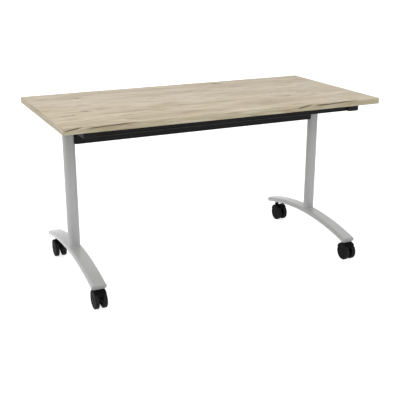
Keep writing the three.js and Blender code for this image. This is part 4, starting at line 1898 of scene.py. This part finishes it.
    def core(self) -> Object:
        """Moulded body of a right wheel: a hub with a blind bore, a disc and the seat of the tyre.

        Returns:
            The body.
        """
        (inner, outer), lip = self.wheel_faces, self.lip
        bore, bore_end = self.axle_radius + self.play, inner + self.axle_sink + self.play
        dish, face = inner + self.inner_dish, outer - self.dish_depth
        foot, crest = (self.hub_radius + slope for slope in self.hub_slope)
        profile = [
            (bore_end, 0.0),
            (bore_end, bore),
            (inner, bore),
            (inner, self.hub_radius),
            (dish, self.hub_radius),
            (dish, self.dish_radius),
            (inner, self.dish_radius),
            (inner, self.tyre_seat - lip),
            (inner + lip, self.tyre_seat),
            (outer - lip, self.tyre_seat),
            (outer, self.tyre_seat - lip),
            (outer, self.dish_radius + lip),
            (face, self.dish_radius - self.dish_depth),
            (face, foot),
            (face + lip, crest),
            (face + lip, 0.0),
        ]
        core = turned("core_right", Axis.X, self.axle, profile, steps=64)
        soften(core, self.core_rounding, segments=2)
        return core

    def tyre(self) -> Object:
        """Soft tread ring around a right wheel's body.

        Returns:
            The ring.
        """
        (inner, outer), groove, shoulder = self.wheel_faces, self.tyre_groove, self.shoulder
        left, right = inner + self.tyre_set_in, outer - self.tyre_set_in
        seat, crown = self.tyre_seat + self.tyre_fit, self.wheel_radius - shoulder
        ring = [
            (inner + groove, seat),
            (outer - groove, seat),
            (right, seat + groove),
            *arc((right - shoulder, crown), shoulder, 0, 90),
            *arc((left + shoulder, crown), shoulder, 90, 180),
            (left, seat + groove),
        ]
        return turned("tyre_right", Axis.X, self.axle, ring, steps=72)

    def pedal(self) -> Object:
        """Brake pedal in its pressed place: a ribbed blade on a knuckle with two hinge pins.

        Returns:
            The pedal.
        """
        half, length, skin = self.pedal_size.x / 2, self.pedal_size.y, self.pedal_size.z / 2
        blade = boxed("pedal", Vector((-half, 0.0, -skin)), Vector((half, length, skin)))
        soften(blade, self.pedal_rounding)
        reach, crest = half * self.rib_reach, -skin - self.rib_height
        for share in self.rib_places:
            start, stop = (share * length + way * self.rib_width / 2 for way in (-1, 1))
            rib = boxed("rib", Vector((-reach, start, crest)), Vector((reach, stop, 0.0)))
            soften(rib, self.rib_rounding, segments=2)
            combine(blade, Operation.JOIN, rib)
        blade.rotation_euler.x = math.radians(self.pedal_angle + 90 + self.pedal_press)
        blade.location = self.hinge
        put_on_bench(blade)
        pedal = taken("pedal")
        knuckle = rod(Axis.X, self.hinge, self.knuckle, -half, half, steps=20)
        soften(knuckle, self.knuckle_rounding, segments=2)
        pin_end = half + self.hinge_pin_length
        pins = rod(Axis.X, self.hinge, self.hinge_pin, -pin_end, pin_end, steps=16)
        combine(pedal, Operation.JOIN, knuckle, pins)
        return pedal


# Studio


@dataclass(frozen=True)
class Lamp:
    """Square soft box that looks at a point of the table."""

    name: str
    place: Place
    size: float
    power: float


@dataclass
class Studio:
    """Pale floor, soft light and the camera at the photograph's angle."""

    floor_size: float = 120.0
    floor_colour: str = "CCCCCC"
    floor_glow: float = 0.75
    sky_colour: str = "FFFFFF"
    sky_fill: float = 0.9
    aim: Place = (0.0, 0.0, 0.55)
    lamps: tuple[Lamp, ...] = (
        Lamp("overhead_soft_box", (-0.9, -2.3, 3.2), 3.0, 20.0),
        Lamp("left_soft_box", (-2.6, 0.2, 1.0), 1.6, 6.5),
        Lamp("front_soft_box", (0.8, -4.4, 1.8), 2.4, 6.0),
    )
    camera_place: Place = (-1.361, -2.89415, 1.339)
    camera_pitch: float = -18.48
    camera_heading: float = -25.14
    lens_mm: float = 67.09
    sensor_mm: float = 36.0

    def build(self) -> None:
        """Sets up the view, the world, the floor, the lamps and the camera."""
        bpy.context.scene.view_settings.view_transform = "Standard"
        self.light_world()
        self.lay_floor()
        for lamp in self.lamps:
            self.hang(lamp)
        self.place_camera()

    @staticmethod
    def seen_directly(tree: NodeTree) -> Feed:
        """Finds rays that show the background to the camera, also by way of gloss or glass.

        Args:
            tree: Node tree of the world or of the floor's material.

        Returns:
            What gives 1 for such rays and 0 for others.
        """
        path = add_node(tree, "LightPath")
        seen: Feed = path.outputs["Is Camera Ray"]
        for ray in ("Is Glossy Ray", "Is Transmission Ray"):
            seen = add_node(tree, "Math", {0: seen, 1: path.outputs[ray]}, operation="MAXIMUM")
        return seen

    @staticmethod
    def put_up(name: str, data: Light | Camera, place: Place) -> Object:
        """Adds a lamp or a camera to the scene.

        Args:
            name: Name of the new object.
            data: The lamp or the camera.
            place: Where it is.

        Returns:
            The new object.
        """
        holder = bpy.data.objects.new(name, data)
        bpy.context.scene.collection.objects.link(holder)
        holder.location = place
        return holder

    def light_world(self) -> None:
        """Makes a white surround that lights the object less than it shows."""
        world = bpy.data.worlds.new("studio")
        bpy.context.scene.world = world
        world.use_nodes = True
        tree = world.node_tree
        strength = add_node(tree, "MapRange", {"Value": self.seen_directly(tree), "To Min": self.sky_fill})
        feed(tree.nodes["Background"], {"Color": linear(self.sky_colour), "Strength": strength})

    def lay_floor(self) -> None:
        """Lays a pale floor that glows a little where it is seen and can be looked through from below."""
        bpy.ops.object.select_all(action="DESELECT")
        bpy.ops.mesh.primitive_plane_add(size=self.floor_size)
        floor = taken("floor")
        material = bpy.data.materials.new("pale floor")
        material.use_nodes = True
        tree = material.node_tree
        tree.nodes.remove(tree.nodes["Principled BSDF"])
        add = partial(add_node, tree)
        matt = add("BsdfDiffuse", {"Color": linear(self.floor_colour)})
        strength = add("Math", {0: self.seen_directly(tree), 1: self.floor_glow}, operation="MULTIPLY")
        lit = add("AddShader", {0: matt, 1: add("Emission", {"Strength": strength})})
        below = add("NewGeometry").outputs["Backfacing"]
        surface = add("MixShader", {0: below, 1: lit, 2: add("BsdfTransparent")})
        feed(tree.nodes["Material Output"], {"Surface": surface})
        floor.data.materials.append(material)

    def hang(self, lamp: Lamp) -> None:
        """Hangs one lamp and turns it to the table.

        Args:
            lamp: The lamp.
        """
        light = bpy.data.lights.new(lamp.name, "AREA")
        light.energy = lamp.power
        light.size = lamp.size
        way = Vector(self.aim) - Vector(lamp.place)
        self.put_up(lamp.name, light, lamp.place).rotation_euler = way.to_track_quat("-Z", "Y").to_euler()

    def place_camera(self) -> None:
        """Places the camera."""
        data = bpy.data.cameras.new("camera")
        data.lens = self.lens_mm
        data.sensor_width = self.sensor_mm
        camera = self.put_up("camera", data, self.camera_place)
        camera.rotation_euler = (math.radians(90 + self.camera_pitch), 0.0, math.radians(self.camera_heading))
        bpy.context.scene.camera = camera


def main() -> None:
    """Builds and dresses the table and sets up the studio."""
    logging.basicConfig(level=logging.INFO, format="%(message)s")
    assemblies = (Tabletop(), TopFrame(), TiltPivot(), Latch(), Leg(), Crossbeam(), Casters())
    for assembly in assemblies:
        assembly.build()
    for assembly in assemblies:
        assembly.dress()
    Studio().build()


if __name__ == "__main__":
    main()
